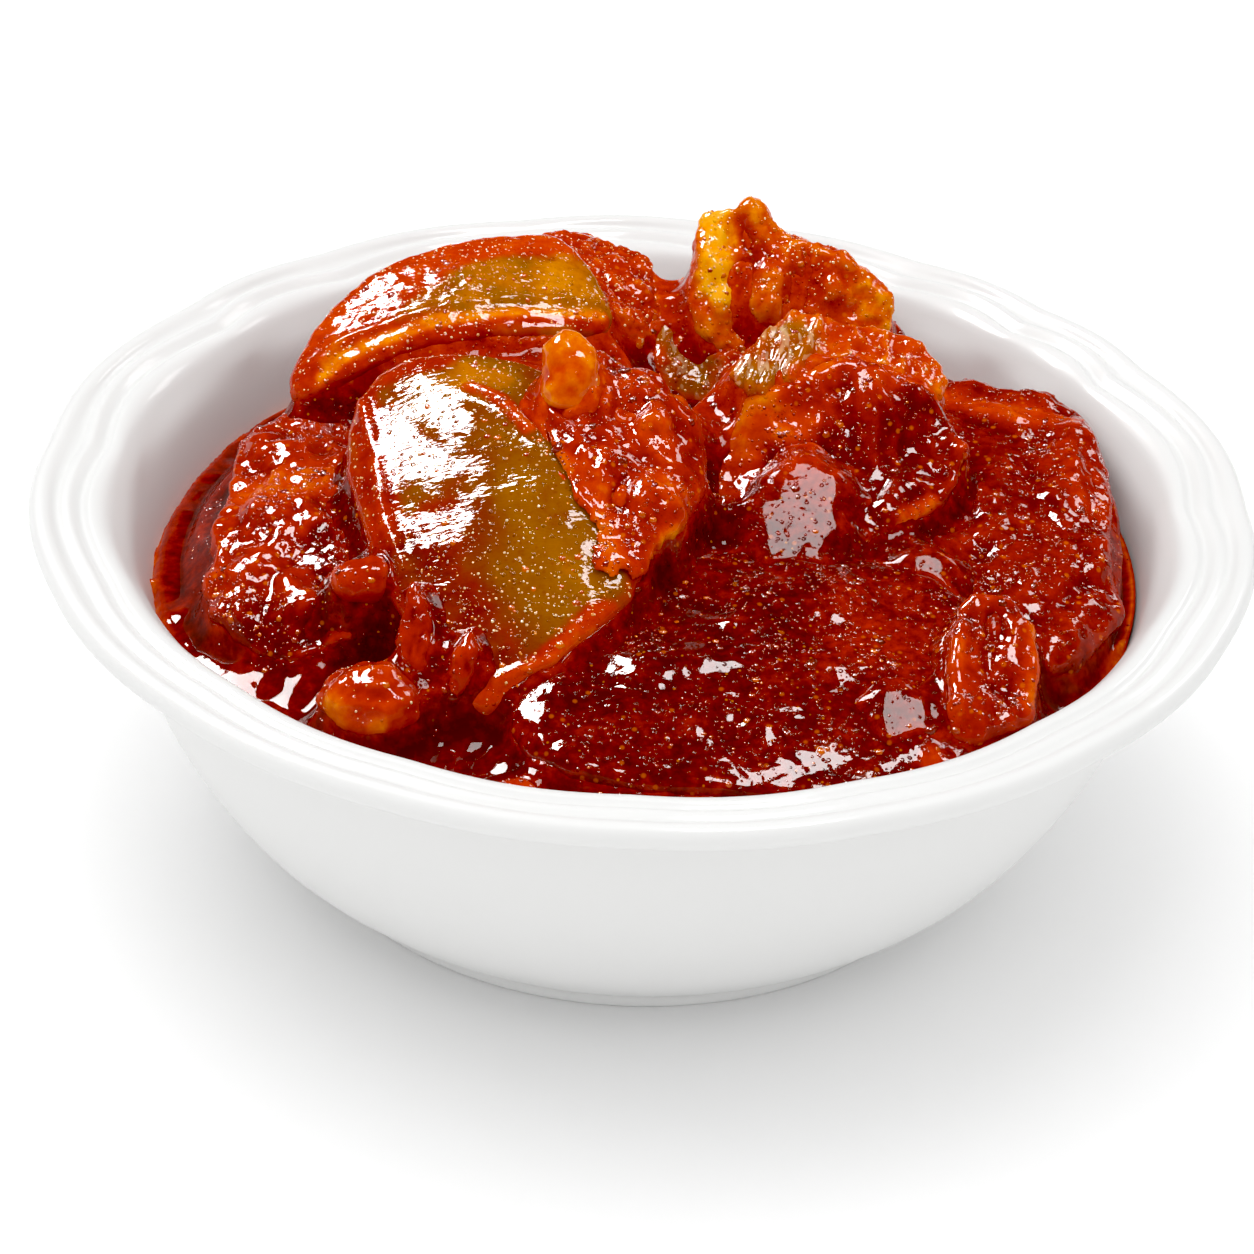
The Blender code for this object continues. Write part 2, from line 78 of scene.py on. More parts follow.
# What each piece shows. "warmth" is its ground colour, 0 dark red to 1 amber. A stroke is a
# value, a reach and the points it runs through: "warm" strokes set the warmth, "bare" strokes
# clear the rind and "green" strokes set its ripeness, brown to yellow, over "ripe". Folds are
# points, width and height. "lumps" and "crumbs" are shares of the usual height, "broad" of the
# usual size. "fibres" is the height of threads that lie along "run", "pith" how much pale
# pith shows.
PIECES = {
    "lemon_large": {
        "finish": "rind", "lumps": 0.3, "crumbs": 0.25, "warmth": 0.4, "ripe": 0.36,
        "green": ((0.64, 5.5, (-11, -14.5, 53.8), (-9, -21.7, 50.5), (-8, -27, 47.2)),
                  (0.55, 4, (-13.2, -24.8, 48.3)), (0.82, 4, (-18, 1.3, 57.4), (-24, 2.9, 56.9)),
                  (0.12, 4.5, (-20.5, -18, 50.5), (-20.7, -27.2, 45.5), (-15, -33, 43))),
        "warm": ((0.22, 6, (-24.5, -22, 47), (-22, -28, 45), (-17, -34, 42)),
                 (0.5, 2.4, (-3.9, -29.2, 45.7), (-6.8, -32.2, 43.6), (-9.9, -34.6, 42),
                  (-13.5, -36.7, 40.3), (-16.7, -37.8, 38.9)),
                 (0.5, 1.6, (-20.4, 0.1, 57.1), (-16.8, -2.5, 57), (-13.2, -7.2, 56)),
                 (0.36, 2.2, (-33, 3, 53), (-31, -6, 52), (-29, -15, 48.5))),
        "bare": ((0.75, 9, (-25, -10.5, 52), (-28, 0.5, 55)), (0.4, 7, (-22, -20, 49)),
                 (1, 10, (-11, -24, 49), (-13, -10, 55.5), (-15, 1, 58)),
                 (1, 6.5, (-13, -28, 46), (-15.5, -34, 42)), (1, 4.5, (-5.5, -26, 48)),
                 (0.4, 4.5, (-24.5, -21, 47.5), (-21.5, -27, 45.5), (-16, -33, 43)),
                 (0, 2.2, (-3.9, -29.2, 45.7), (-6.8, -32.2, 43.6), (-9.9, -34.6, 42),
                  (-13.5, -36.7, 40.3), (-16.7, -37.8, 38.9)),
                 (0.1, 1.3, (-20.4, 0.1, 57.1), (-16.8, -2.5, 57), (-13.2, -7.2, 56)),
                 (0, 2.4, (-33, 5, 54), (-33, 3, 53), (-31, -6, 52), (-29, -15, 48.5)),
                 (0.15, 2.8, (-24.2, 6.6, 57.4), (-30, 6, 55))),
        "folds": ((((-20.4, 0.1, 57.1), (-16.8, -2.5, 57), (-13.2, -7.2, 56),
                    (-9.6, -12.7, 55.4)), 0.9, 0.7),
                  (((-15, -36, 41), (-9, -33.5, 42.5), (-6, -29, 45), (-3, -25, 47)), 0.8, 0.6),
                  (((-33, 3, 53), (-31, -6, 52), (-29, -15, 48.5), (-26, -22, 46)), 1.0, 0.5)),
    },
    "lemon_long_slice": {
        "finish": "rind", "lumps": 0.4, "crumbs": 1.8, "warmth": 0.45, "ripe": 0.76,
        "green": ((0.9, 4.5, (-11.3, 26.5, 58.3), (-8, 25, 57.5)),),
        "warm": ((0.56, 4, (-38, 19.3, 53.3), (-22.2, 29.6, 59.5), (-11.6, 34, 59.2)),
                 (0.8, 1.35, (-38.5, 13.2, 50.3), (-36.5, 15.2, 51.9), (-25, 18.1, 56.1),
                  (-15.7, 20.3, 56.7), (-6.3, 22.1, 55.9)),
                 # This stroke is a painted shadow under the cut edge.
                 (0.34, 2.3, (-37, 12.5, 48.2), (-25, 15.8, 53.2), (-15, 18.2, 53.6),
                  (-6, 20, 52.8))),
        "bare": ((1, 7.5, (-21, 23.5, 58.5), (-8, 24, 57.5)), (0.7, 5, (-28, 22, 57)),
                 (0, 1.7, (-38.5, 13, 50), (-36.5, 15, 51.5), (-25, 17.4, 55.3),
                  (-15.7, 19.6, 55.9), (-6.3, 21.4, 55)),
                 (0, 3.4, (-38, 19.3, 53.3), (-32.3, 22, 56.2), (-27.9, 25.9, 58.4),
                  (-22.2, 29.6, 59.5), (-16.4, 32.1, 59.9), (-11.6, 34, 59.2))),
        "folds": ((((-38.5, 15.5, 51), (-36.5, 17.2, 53), (-25, 19.8, 57), (-15.7, 22, 57.5),
                    (-6.3, 23.4, 56.6)), 0.7, 0.5),),
    },
    "lemon_hollow": {
        "finish": "rind", "lumps": 0.8, "crumbs": 2.0, "warmth": 0.46, "ripe": 0.4,
        "pith": 0.25, "fibres": 0.4, "run": (-0.2, -0.7, -0.7),
        "warm": ((0.7, 3, (1, 36, 53), (0, 30, 51)),),
        "bare": ((0.62, 4.5, (4.7, 24.4, 47.5), (2, 31, 50.5)),),
        "folds": ((((0, 36, 52), (1.5, 29, 50), (1, 23, 47.5)), 1.0, 0.6),
                  (((5, 35, 52), (5.5, 28, 50)), 1.0, 0.6)),
    },
    "lemon_flap": {
        "finish": "rind", "lumps": 0.8, "crumbs": 1.5, "warmth": 0.56, "ripe": 0.6,
        "pith": 0.5, "fibres": 0.45, "run": (-0.35, -0.75, -0.55),
        "warm": ((0.56, 3, (24, 14.7, 57), (30, 14, 56)),),
        "bare": ((0.66, 4.2, (16, 13, 58), (12.6, 8.5, 56.6)),),
        "folds": ((((16.5, 18, 58.5), (15, 12, 57.5), (13, 6.5, 55)), 0.6, 0.9),
                  (((14, 17, 58.5), (12.5, 11, 57), (11.5, 6.5, 55)), 0.6, 0.8),
                  (((19, 17, 58.5), (17.5, 12, 57.5), (16, 8, 56)), 0.6, 0.8)),
    },
    "lemon_large_flesh": {
        "finish": "flesh", "lumps": 0.8, "crumbs": 1.6, "warmth": 0.36,
        "fibres": 0.3, "run": (0.55, -0.65, -0.5),
        "warm": ((0.5, 3.2, (0.3, -9, 56.6), (-3.3, -4.4, 59)),
                 (0.48, 3, (1.6, -14.3, 54.4), (5, -14.3, 52)),
                 (0.6, 1.6, (-9.6, -12.7, 55.4), (-6.1, -15.5, 54.7), (-4.5, -18.3, 53.2),
                  (-3.3, -22, 51), (-2.8, -26.3, 48.5)),
                 (0.66, 2.0, (1.5, -22, 49), (4, -16, 50)),
                 (0.2, 4, (7, -8, 50), (8, -13, 48))),
        "folds": ((((-6, 1, 61), (-4, -8, 59), (-5, -15, 55.5)), 1.2, 0.6),
                  (((-1, -2, 60), (2, -8, 57), (4, -14, 53.5)), 1.3, 0.6),
                  (((-2.5, -6, 59), (-0.5, -12, 56), (-3, -18, 53)), 1.1, -0.5)),
    },
    "lemon_back_lump": {
        "finish": "flesh", "lumps": 1.2, "crumbs": 6.0, "warmth": 0.48,
        "fibres": 0.2, "run": (0.5, -0.7, -0.5),
    },
    "lemon_twisted": {
        "finish": "flesh", "lumps": 1.1, "crumbs": 4.5, "warmth": 0.54,
        "fibres": 0.3, "run": (0.25, -0.6, -0.75),
        "warm": ((0.46, 2.2, (10.5, 34, 61), (11, 30, 57)),
                 (0.44, 2.2, (18, 31, 56), (17, 28, 53)),
                 (0.9, 2.7, (6.5, 37, 63), (7.3, 35.7, 61.4), (7.6, 33, 58.8), (7.2, 30, 56),
                  (9.7, 29, 54.8)),
                 (0.66, 2.4, (12, 36, 63.5), (15, 34, 60.5)), (0.36, 2.2, (12.5, 32.2, 58.7)),
                 (0.7, 2.6, (7.4, 26.1, 52.2), (11, 26.5, 53)),
                 (0.76, 2.6, (25, 31.5, 55), (28, 29.5, 52.5))),
        "folds": ((((6, 37, 62), (6.8, 32, 58.5), (8.5, 28, 54)), 1.7, 0.9),
                  (((10.3, 31, 57), (11, 27, 53)), 1.3, -0.8),
                  (((11.6, 37, 63.5), (14, 33, 60), (13.5, 28, 55)), 1.8, 0.9),
                  (((18, 33, 59), (17, 28, 54)), 1.4, -0.8),
                  (((22, 34, 58.5), (21, 28, 54)), 1.7, 1.0)),
    },
    "lemon_curled": {
        "finish": "flesh", "lumps": 0.8, "crumbs": 1.6, "warmth": 0.17,
        "fibres": 0.2, "run": (0.15, -0.75, -0.65),
        "warm": ((0.62, 3.4, (12.2, 3.9, 52.5), (16, 6, 54.2), (20.7, 9, 56)),
                 (0.45, 2.4, (23, 9.4, 56.6), (28, 9, 56)),
                 (0.3, 3.5, (17.3, 5.8, 54.3), (24.2, 5.9, 54.7)),
                 (0.5, 3, (11.2, 1.5, 50), (10.3, -2, 47)),
                 (0.6, 3, (10.6, 2.5, 50.6), (12.8, 3.7, 52.6), (17, 3.4, 52.3)),
                 (0.42, 2.2, (37, 8, 53), (37, 3, 52)),
                 (0.58, 1.6, (32.6, -3.5, 46.6), (29.7, -5.8, 45.9))),
        "folds": ((((12, 6, 54), (17, 8, 56), (22, 10, 57)), 1.6, 0.9),
                  (((14, 6, 54), (16, 0, 51), (17, -6, 48)), 1.8, 0.8),
                  (((22, 7, 55), (23, 0, 51), (22, -6, 47)), 1.8, -0.9),
                  (((28, 7, 54), (30, 1, 50), (28, -5, 47)), 1.8, 0.9),
                  (((36.5, 8, 53), (37, 3, 52), (34.5, -2.5, 48.5)), 1.3, 0.6)),
    },
    "lemon_broad_right": {
        "finish": "flesh", "lumps": 0.7, "crumbs": 2.4, "broad": 1.4, "warmth": 0.25,
        "fibres": 0.15, "run": (0.5, -0.8, -0.2),
        "warm": ((0.54, 3, (37, 24, 45.4), (43, 21.2, 46), (49, 20.5, 45)),
                 (0.4, 4, (49, 12, 46), (52, 4, 45))),
        "folds": ((((52, -4, 43), (51, -12, 41), (47, -20, 39)), 1.4, 0.6),),
    },
    "lemon_folded": {
        "finish": "flesh", "lumps": 1.2, "crumbs": 1.0, "warmth": 0.3,
        "fibres": 0.25, "run": (0.1, -0.8, -0.6),
        "warm": ((0.55, 1.6, (43, -25, 44), (42.5, -34, 40.3)),
                 (0.45, 2, (35.5, -30, 44), (35, -37, 40))),
        "folds": ((((42.5, -25, 44), (43, -30, 42), (42, -35, 39.5)), 1.0, 0.7),
                  (((39, -25, 46), (38.5, -33, 42)), 1.4, -0.8),
                  (((35.5, -27, 45), (34.5, -32, 43), (35, -37, 40.5)), 1.0, 0.7)),
    },
    "lemon_left": {
        "finish": "flesh", "lumps": 1.3, "crumbs": 2.0, "warmth": 0.36,
        "fibres": 0.2, "run": (0.3, -0.9, -0.2),
        "warm": ((0.64, 4.5, (-44, -3, 44), (-39, -2, 45.7)), (0.44, 3, (-47, -17, 41)),
                 (0.15, 5, (-38, -25.6, 38), (-44, -24, 39)),
                 (0.1, 2.5, (-34, -23, 39.7), (-36, -12, 43))),
        "folds": ((((-45, 8, 44), (-43, 0, 44.5), (-44, -8, 43.5)), 1.6, 0.7),
                  (((-38, 4, 45), (-37, -6, 45)), 1.5, -0.7),
                  (((-48, -12, 41.5), (-44, -20, 40)), 1.4, 0.7)),
    },
    "lemon_broad_front": {
        "finish": "masala", "lumps": 0.4, "crumbs": 1.1, "broad": 1.5, "warmth": 0.13,
        "warm": ((0.25, 6, (27, -20, 43.5), (32, -26, 42), (23, -29, 43)),
                 (0.09, 6, (1, -26, 43), (13, -26, 44), (-4, -36, 41)),
                 (0.5, 1.8, (31.9, -43, 38))),
    },
    "lemon_seed": {"finish": "seed", "lumps": 1.3, "crumbs": 2.2, "warmth": 0.66,
                   "warm": ((0.42, 2.4, (-9.8, -8.3, 57.4), (-6, -8.5, 57.6)),)},
    "round_chunk": {
        "finish": "seed", "lumps": 1.6, "crumbs": 1.2, "warmth": 0.42,
        "fibres": 0.2, "run": (0.9, 0.3, 0.3),
        "warm": ((0.7, 2.6, (-32.5, -40.5, 38.6)), (0.66, 1.5, (-27.5, -42.5, 38.5))),
    },
    "small_chunk": {"finish": "seed", "lumps": 0.8, "crumbs": 0.8, "warmth": 0.4},
    "flesh_knob": {"finish": "seed", "lumps": 1.4, "crumbs": 1.5, "warmth": 0.36},
    "chilli_strip": {"finish": "chilli", "lumps": 0.9, "crumbs": 1.0, "warmth": 0.27,
                     "fibres": 0.45, "fibre_size": 1.6, "run": (-0.1, -0.65, -0.75)},
    "chilli_curl": {"finish": "chilli", "lumps": 0.9, "crumbs": 1.0, "warmth": 0.3,
                    "fibres": 0.45, "fibre_size": 1.6, "run": (0.2, -0.65, -0.7)},
}
# Colours of cured flesh and masala, from shaded hollow to thin lit edge, and of clean rind.
CURED_STOPS = ((0.0, "#521508"), (0.15, "#6F1808"), (0.3, "#922108"), (0.45, "#AD2C09"),
               (0.6, "#C33E0A"), (0.75, "#D6610B"), (0.9, "#EF940E"), (1.0, "#F3A822"))
RIND_STOPS = ((0.0, "#7A2A08"), (0.3, "#853E09"), (0.5, "#8C4E09"), (0.7, "#985B09"),
              (0.85, "#B4650A"), (1.0, "#CE7E0B"))
# Thick places in the sauce: height above its level, reach and the points it runs through.
SWELLS = ((1.6, 2.4, (-50, -13.5), (-48.2, -18.5), (-46, -22.8), (-43, -26.6),
           (-40.5, -28.6)),
          (2.6, 4.0, (-35.6, -28)), (4.2, 4.5, (-28, -33), (-23, -35)),
          (3.0, 5.0, (-10, -40.5), (-4, -41)), (9.5, 5.0, (30, -12), (36, -10)))
# Films of sauce that run down a piece's face: middle, slope along x and y, and reach. The
# lobes in their edges are a size against the reach, a number and a start.
FILMS = (((17.0, -10.2, 47.3), (-0.06, 0.52), 4.4), ((18.6, -5.4, 49.7), (-0.06, 0.52), 3.0),
         ((32.5, -13.5, 44.6), (-0.1, 0.5), 2.0), ((28.6, -37.6, 41.4), (-0.06, 0.5), 2.2),
         ((29.2, -40.6, 39.9), (-0.06, 0.5), 2.4))
FILM_LOBES = ((0.1, 3.0, 0.8), (0.07, 5.0, 0.0), (0.06, 9.0, 2.0), (0.05, 14.0, 0.0))
# Grid that the heap is looked at on: cell, half width, and the radius that holds the heap.
MAP_CELL, MAP_HALF, HEAP_RADIUS = 0.4, 56.4, 56.0
# Sauce: lines across its grid, depth below its level, and how far it enters the wall at its
# top and at its foot.
SAUCE_LINES, SAUCE_DEPTH, TOP_BITE, FOOT_BITE = 286, 6.0, 0.5, 0.3
# How far the sauce lies under what it covers, and how much further where it covers nothing.
SAUCE_SINK, HIDDEN_SINK = 0.2, 1.6
# How thickly each piece is strewn with spice, where it isn't 1.
STREWN = {"lemon_broad_front": 0.4, "lemon_broad_right": 0.5, "masala_sauce": 0.3,
          "lemon_large": 0.7, "lemon_seed": 0.3, "round_chunk": 0.4, "lemon_curled": 0.7}
# Pieces light enough to be strewn with pale drops instead of red beads; the drops' pale colour is
# a painted glint.
LIGHT = ("lemon_twisted", "lemon_flap", "lemon_hollow", "lemon_seed", "round_chunk",
         "lemon_long_slice", "lemon_large", "lemon_back_lump")
# Camera: how high it stands seen from the origin, how far it looks down, its yaw and its roll,
# in degrees.
CAMERA_ANGLES = (34.51, 31.97, -0.183, 2.66)
# Names of the node trees, and a slot name for each finish.
COATING, SCATTER = "masala_coating", "spice_scatter"
SLOTS = {"rind": "lemon_rind", "flesh": "lemon_flesh", "masala": "masala_coating",
         "seed": "seed", "chilli": "chilli_skin"}


# ------------------------------------------------------------ small helpers
def linear(code):
    """Turn an sRGB hex colour into linear red, green and blue."""
    parts = [int(code[k:k + 2], 16) / 255.0 for k in (1, 3, 5)]
    return tuple(c / 12.92 if c <= 0.04045 else ((c + 0.055) / 1.055) ** 2.4 for c in parts)


def add(tree, kind, inputs=None, stops=(), **settings):
    """Add a node to a tree, set it up, set or link its inputs and lay out its colour stops."""
    node = tree.nodes.new(kind)
    for key, value in settings.items():
        setattr(node, key, value)
    for key, value in (inputs or {}).items():
        if isinstance(value, bpy.types.Node):
            value = next(socket for socket in value.outputs if socket.enabled)
        if isinstance(value, bpy.types.NodeSocket):
            tree.links.new(value, node.inputs[key])
        else:
            node.inputs[key].default_value = value
    if stops:
        points = node.color_ramp.elements
        while len(points) < len(stops):
            points.new(0.5)
        for point, (place, code) in zip(points, stops):
            point.position = place
            point.color = (*linear(code), 1.0)
    return node


def scale_for(size):
    """Scale of a pattern whose parts are this size, in mm."""
    return 1.0 / (size * MM)


def vertex_array(mesh, kind="co"):
    """Read a mesh's vertex places or normals as an array."""
    values = np.empty(len(mesh.vertices) * 3)
    mesh.vertices.foreach_get(kind, values)
    return values.reshape(-1, 3)


def set_attribute(mesh, name, values):
    """Store one number for each vertex, for a material to read."""
    layer = mesh.attributes.get(name) or mesh.attributes.new(name, "FLOAT", "POINT")
    layer.data.foreach_set("value", np.ascontiguousarray(values, dtype=np.float32))


def smooth_step(low, high, values):
    """Rise softly from 0 at low to 1 at high."""
    t = np.clip((values - low) / (high - low), 0.0, 1.0)
    return t * t * (3.0 - 2.0 * t)


def line_distance(places, points):
    """Distance from each place to a point, or to a run of straight stretches, in mm."""
    nearest = np.linalg.norm(places - np.array(points[0], float), axis=1)
    for start, end in zip(points, points[1:]):
        a = np.array(start, float)
        run = np.array(end, float) - a
        t = np.clip((places - a) @ run / (run @ run), 0.0, 1.0)
        nearest = np.minimum(nearest, np.linalg.norm(places - (a + t[:, None] * run), axis=1))
    return nearest


def paint(places, ground, strokes):
    """Lay soft strokes of a value over a ground value, each place in mm."""
    full, none = 0.4, 1.25  # shares of its reach where a stroke covers fully, and no more
    values = np.full(len(places), float(ground))
    for value, reach, *points in strokes:
        cover = 1.0 - smooth_step(full, none, line_distance(places, points) / reach)
        values += (value - values) * cover
    return values


def relaxed(mesh, rounds):
    """Vertex places after each has moved to the middle of its neighbours several times."""
    places = vertex_array(mesh)
    ends = np.empty(len(mesh.edges) * 2, dtype=np.int64)
    mesh.edges.foreach_get("vertices", ends)
    one, two = ends[0::2], ends[1::2]
    count = np.maximum(np.bincount(ends, minlength=len(places)), 1)[:, None]
    for _ in range(rounds):
        total = np.stack([
            np.bincount(one, places[two, k], len(places))
            + np.bincount(two, places[one, k], len(places)) for k in range(3)], axis=1)
        places = 0.5 * places + 0.5 * total / count
    return places


def new_piece(name, mesh):
    """Put a mesh into the scene as a piece of the object."""
    piece = bpy.data.objects.new(name, mesh)
    bpy.context.scene.collection.objects.link(piece)
    return piece


def bake_modifiers(piece):
    """Turn a piece with modifiers into a plain mesh."""
    bpy.context.view_layer.update()
    graph = bpy.context.evaluated_depsgraph_get()
    mesh = bpy.data.meshes.new_from_object(piece.evaluated_get(graph))
    piece.modifiers.clear()
    piece.data = mesh
    mesh.shade_smooth()
    return mesh


def finish_piece(piece, slot, *nodes):
    """Fix a finished piece to the bowl's body and let it stand for its CAD nodes."""
    if not len(piece.data.polygons):
        raise RuntimeError(piece.name + " came out empty")
    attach(piece, "root")
    if nodes:
        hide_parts(*nodes)


# ------------------------------------------------------------ geometry nodes
def new_geometry_tree(name, numbers):
    """Start a Geometry Nodes tree with named number inputs and a material."""
    tree = bpy.data.node_groups.new(name, "GeometryNodeTree")
    tree.is_modifier = True
    tree.interface.new_socket("Geometry", in_out="INPUT", socket_type="NodeSocketGeometry")
    for label, default in numbers:
        kind = "NodeSocketVector" if isinstance(default, tuple) else "NodeSocketFloat"
        socket = tree.interface.new_socket(label, in_out="INPUT", socket_type=kind)
        socket.default_value = default
    tree.interface.new_socket("Material", in_out="INPUT", socket_type="NodeSocketMaterial")
    tree.interface.new_socket("Geometry", in_out="OUTPUT", socket_type="NodeSocketGeometry")
    return tree, tree.nodes.new("NodeGroupInput"), tree.nodes.new("NodeGroupOutput")


def end_tree(tree, source, sink, shape):
    """Make what a tree has built real and give it the material."""
    real = add(tree, "GeometryNodeRealizeInstances", {"Geometry": shape})
    done = add(tree, "GeometryNodeSetMaterial",
               {"Geometry": real, "Material": source.outputs["Material"]})
    tree.links.new(done.outputs[0], sink.inputs[0])
    return tree


def coating_tree():
    """Push a surface in and out along its normals: lumps of two sizes, and fibres."""
    swing = 3.0  # a noise spans about a third of its range, so its height is tripled
    pull, sharpness, mean = 0.66, 7.0, 0.35  # fibres: stretch, thinness and mean height
    tree, source, sink = new_geometry_tree(COATING, (
        ("Lump Size", 0.005), ("Lump Height", 0.0008), ("Crumb Size", 0.0016),
        ("Crumb Height", 0.0003), ("Shift", 0.0), ("Fibre Size", 0.0024), ("Fibre Height", 0.0),
        ("Fibre Run", (0.0, -0.7, -0.7))))
    place = add(tree, "GeometryNodeInputPosition")
    shift = add(tree, "ShaderNodeCombineXYZ", {"X": source.outputs["Shift"],
                                              "Z": source.outputs["Shift"]})
    moved = add(tree, "ShaderNodeVectorMath", {0: place, 1: shift}, operation="ADD")
    pushes = []
    for size, height, detail in (("Lump Size", "Lump Height", 1.0),
                                 ("Crumb Size", "Crumb Height", 2.0)):
        rate = add(tree, "ShaderNodeMath", {0: 1.0, 1: source.outputs[size]}, operation="DIVIDE")
        noise = add(tree, "ShaderNodeTexNoise",
                    {"Vector": moved, "Scale": rate, "Detail": detail, "Roughness": 0.5})
        level = add(tree, "ShaderNodeMath", {0: noise.outputs[0], 1: 0.5}, operation="SUBTRACT")
        tall = add(tree, "ShaderNodeMath", {0: source.outputs[height], 1: swing},
                   operation="MULTIPLY")
        pushes.append(add(tree, "ShaderNodeMath", {0: level, 1: tall}, operation="MULTIPLY"))
    both = add(tree, "ShaderNodeMath", {0: pushes[0], 1: pushes[1]}, operation="ADD")
    run = source.outputs["Fibre Run"]
    along = add(tree, "ShaderNodeVectorMath", {0: moved, 1: run}, operation="DOT_PRODUCT")
    squeeze = add(tree, "ShaderNodeMath", {0: along, 1: -pull}, operation="MULTIPLY")
    pulled = add(tree, "ShaderNodeVectorMath", {0: run, "Scale": squeeze}, operation="SCALE")
    stretched = add(tree, "ShaderNodeVectorMath", {0: moved, 1: pulled}, operation="ADD")
    rate = add(tree, "ShaderNodeMath", {0: 1.0, 1: source.outputs["Fibre Size"]},
               operation="DIVIDE")
    threads = add(tree, "ShaderNodeTexNoise", {"Vector": stretched, "Scale": rate, "Detail": 1.0})
    apart = add(tree, "ShaderNodeMath", {0: threads, 1: 0.5}, operation="SUBTRACT")
    apart = add(tree, "ShaderNodeMath", {0: apart}, operation="ABSOLUTE")
    crest = add(tree, "ShaderNodeMath", {0: apart, 1: -sharpness, 2: 1.0},
                operation="MULTIPLY_ADD")
    crest = add(tree, "ShaderNodeMath", {0: crest, 1: 0.0}, operation="MAXIMUM")
    crest = add(tree, "ShaderNodeMath", {0: crest, 1: mean}, operation="SUBTRACT")
    both = add(tree, "ShaderNodeMath", {0: crest, 1: source.outputs["Fibre Height"], 2: both},
               operation="MULTIPLY_ADD")
    calm = add(tree, "GeometryNodeInputNamedAttribute", {"Name": "calm"}, data_type="FLOAT")
    rough = add(tree, "ShaderNodeMath", {0: 1.0, 1: calm.outputs[0]}, operation="SUBTRACT")
    push = add(tree, "ShaderNodeMath", {0: both, 1: rough}, operation="MULTIPLY")
    normal = add(tree, "GeometryNodeInputNormal")
    offset = add(tree, "ShaderNodeVectorMath", {0: normal, "Scale": push}, operation="SCALE")
    moved_mesh = add(tree, "GeometryNodeSetPosition",
                     {"Geometry": source.outputs["Geometry"], "Offset": offset.outputs[0]})
    return end_tree(tree, source, sink, moved_mesh)


def scatter_tree():
    """Set a small rounded grain on every point, turned and sized by the point."""
    tree, source, sink = new_geometry_tree(SCATTER, (
        ("Grain Size", 0.0005), ("Flatness", 0.8), ("Length", 1.0)))
    grain = add(tree, "GeometryNodeMeshIcoSphere", {"Radius": 0.5, "Subdivisions": 1})
    facing = add(tree, "GeometryNodeInputNamedAttribute", {"Name": "facing"},
                 data_type="FLOAT_VECTOR")
    share = add(tree, "GeometryNodeInputNamedAttribute", {"Name": "share"}, data_type="FLOAT")
    spin = add(tree, "GeometryNodeInputNamedAttribute", {"Name": "spin"}, data_type="FLOAT")
    upright = add(tree, "FunctionNodeAlignRotationToVector", {"Vector": facing.outputs[0]},
                  axis="Z")
    about = add(tree, "ShaderNodeCombineXYZ", {"Z": spin.outputs[0]})
    turned = add(tree, "FunctionNodeRotateRotation", {"Rotation": upright, "Rotate By": about},
                 rotation_space="LOCAL")
    size = add(tree, "ShaderNodeMath", {0: source.outputs["Grain Size"], 1: share.outputs[0]},
               operation="MULTIPLY")
    proportion = add(tree, "ShaderNodeCombineXYZ", {
        "X": source.outputs["Length"], "Y": 1.0, "Z": source.outputs["Flatness"]})
    scale = add(tree, "ShaderNodeVectorMath", {0: proportion, "Scale": size}, operation="SCALE")
    placed = add(tree, "GeometryNodeInstanceOnPoints", {
        "Points": source.outputs["Geometry"], "Instance": grain.outputs[0],
        "Rotation": turned, "Scale": scale.outputs[0]})
    return end_tree(tree, source, sink, placed)


def run_tree(piece, name, values):
    """Give a piece a node tree with these input values, and keep the result as a mesh."""
    tree = bpy.data.node_groups.get(name) or TREES[name]()
    modifier = piece.modifiers.new(name, "NODES")
    modifier.node_group = tree
    names = {item.name: item.identifier for item in tree.interface.items_tree
             if item.in_out == "INPUT"}
    for label, value in values.items():
        modifier[names[label]] = value
    return bake_modifiers(piece)


TREES = {COATING: coating_tree, SCATTER: scatter_tree}


# ------------------------------------------------------------ materials
def start_material(name, roughness, inner=0.0, coat=1.0, coat_ior=1.3, coat_roughness=0.03):
    """Start a material with Object coordinates and constants on the shader's own sockets."""
    material = bpy.data.materials.new(name)
    material.use_nodes = True
    tree = material.node_tree
    shader = tree.nodes["Principled BSDF"]
    shader.inputs["Roughness"].default_value = roughness
    shader.inputs["IOR"].default_value = 1.45
    shader.inputs["Specular IOR Level"].default_value = inner
    shader.inputs["Coat Weight"].default_value = coat
    shader.inputs["Coat IOR"].default_value = coat_ior
    shader.inputs["Coat Roughness"].default_value = coat_roughness
    place = tree.nodes.new("ShaderNodeTexCoord").outputs["Object"]
    return material, tree, shader, place


def solid(tone):
    """A colour setting as a node takes it, with its opacity."""
    return (*tone[:3], 1.0)


def dots(tree, place, size_mm, share, reach=0.3):
    """Round dots, one in this share of the cells: 1 in a dot's middle, 0 outside."""
    cells = add(tree, "ShaderNodeTexVoronoi", {"Vector": place, "Scale": scale_for(size_mm)})
    draw = add(tree, "ShaderNodeSeparateColor", {"Color": cells.outputs["Color"]})
    picked = add(tree, "ShaderNodeMath", {0: draw, 1: share}, operation="LESS_THAN")
    dome = add(tree, "ShaderNodeMapRange", {
        "Value": cells.outputs["Distance"], "From Min": reach, "From Max": reach * 0.4},
        interpolation_type="SMOOTHSTEP")
    return add(tree, "ShaderNodeMath", {0: picked, 1: dome}, operation="MULTIPLY")


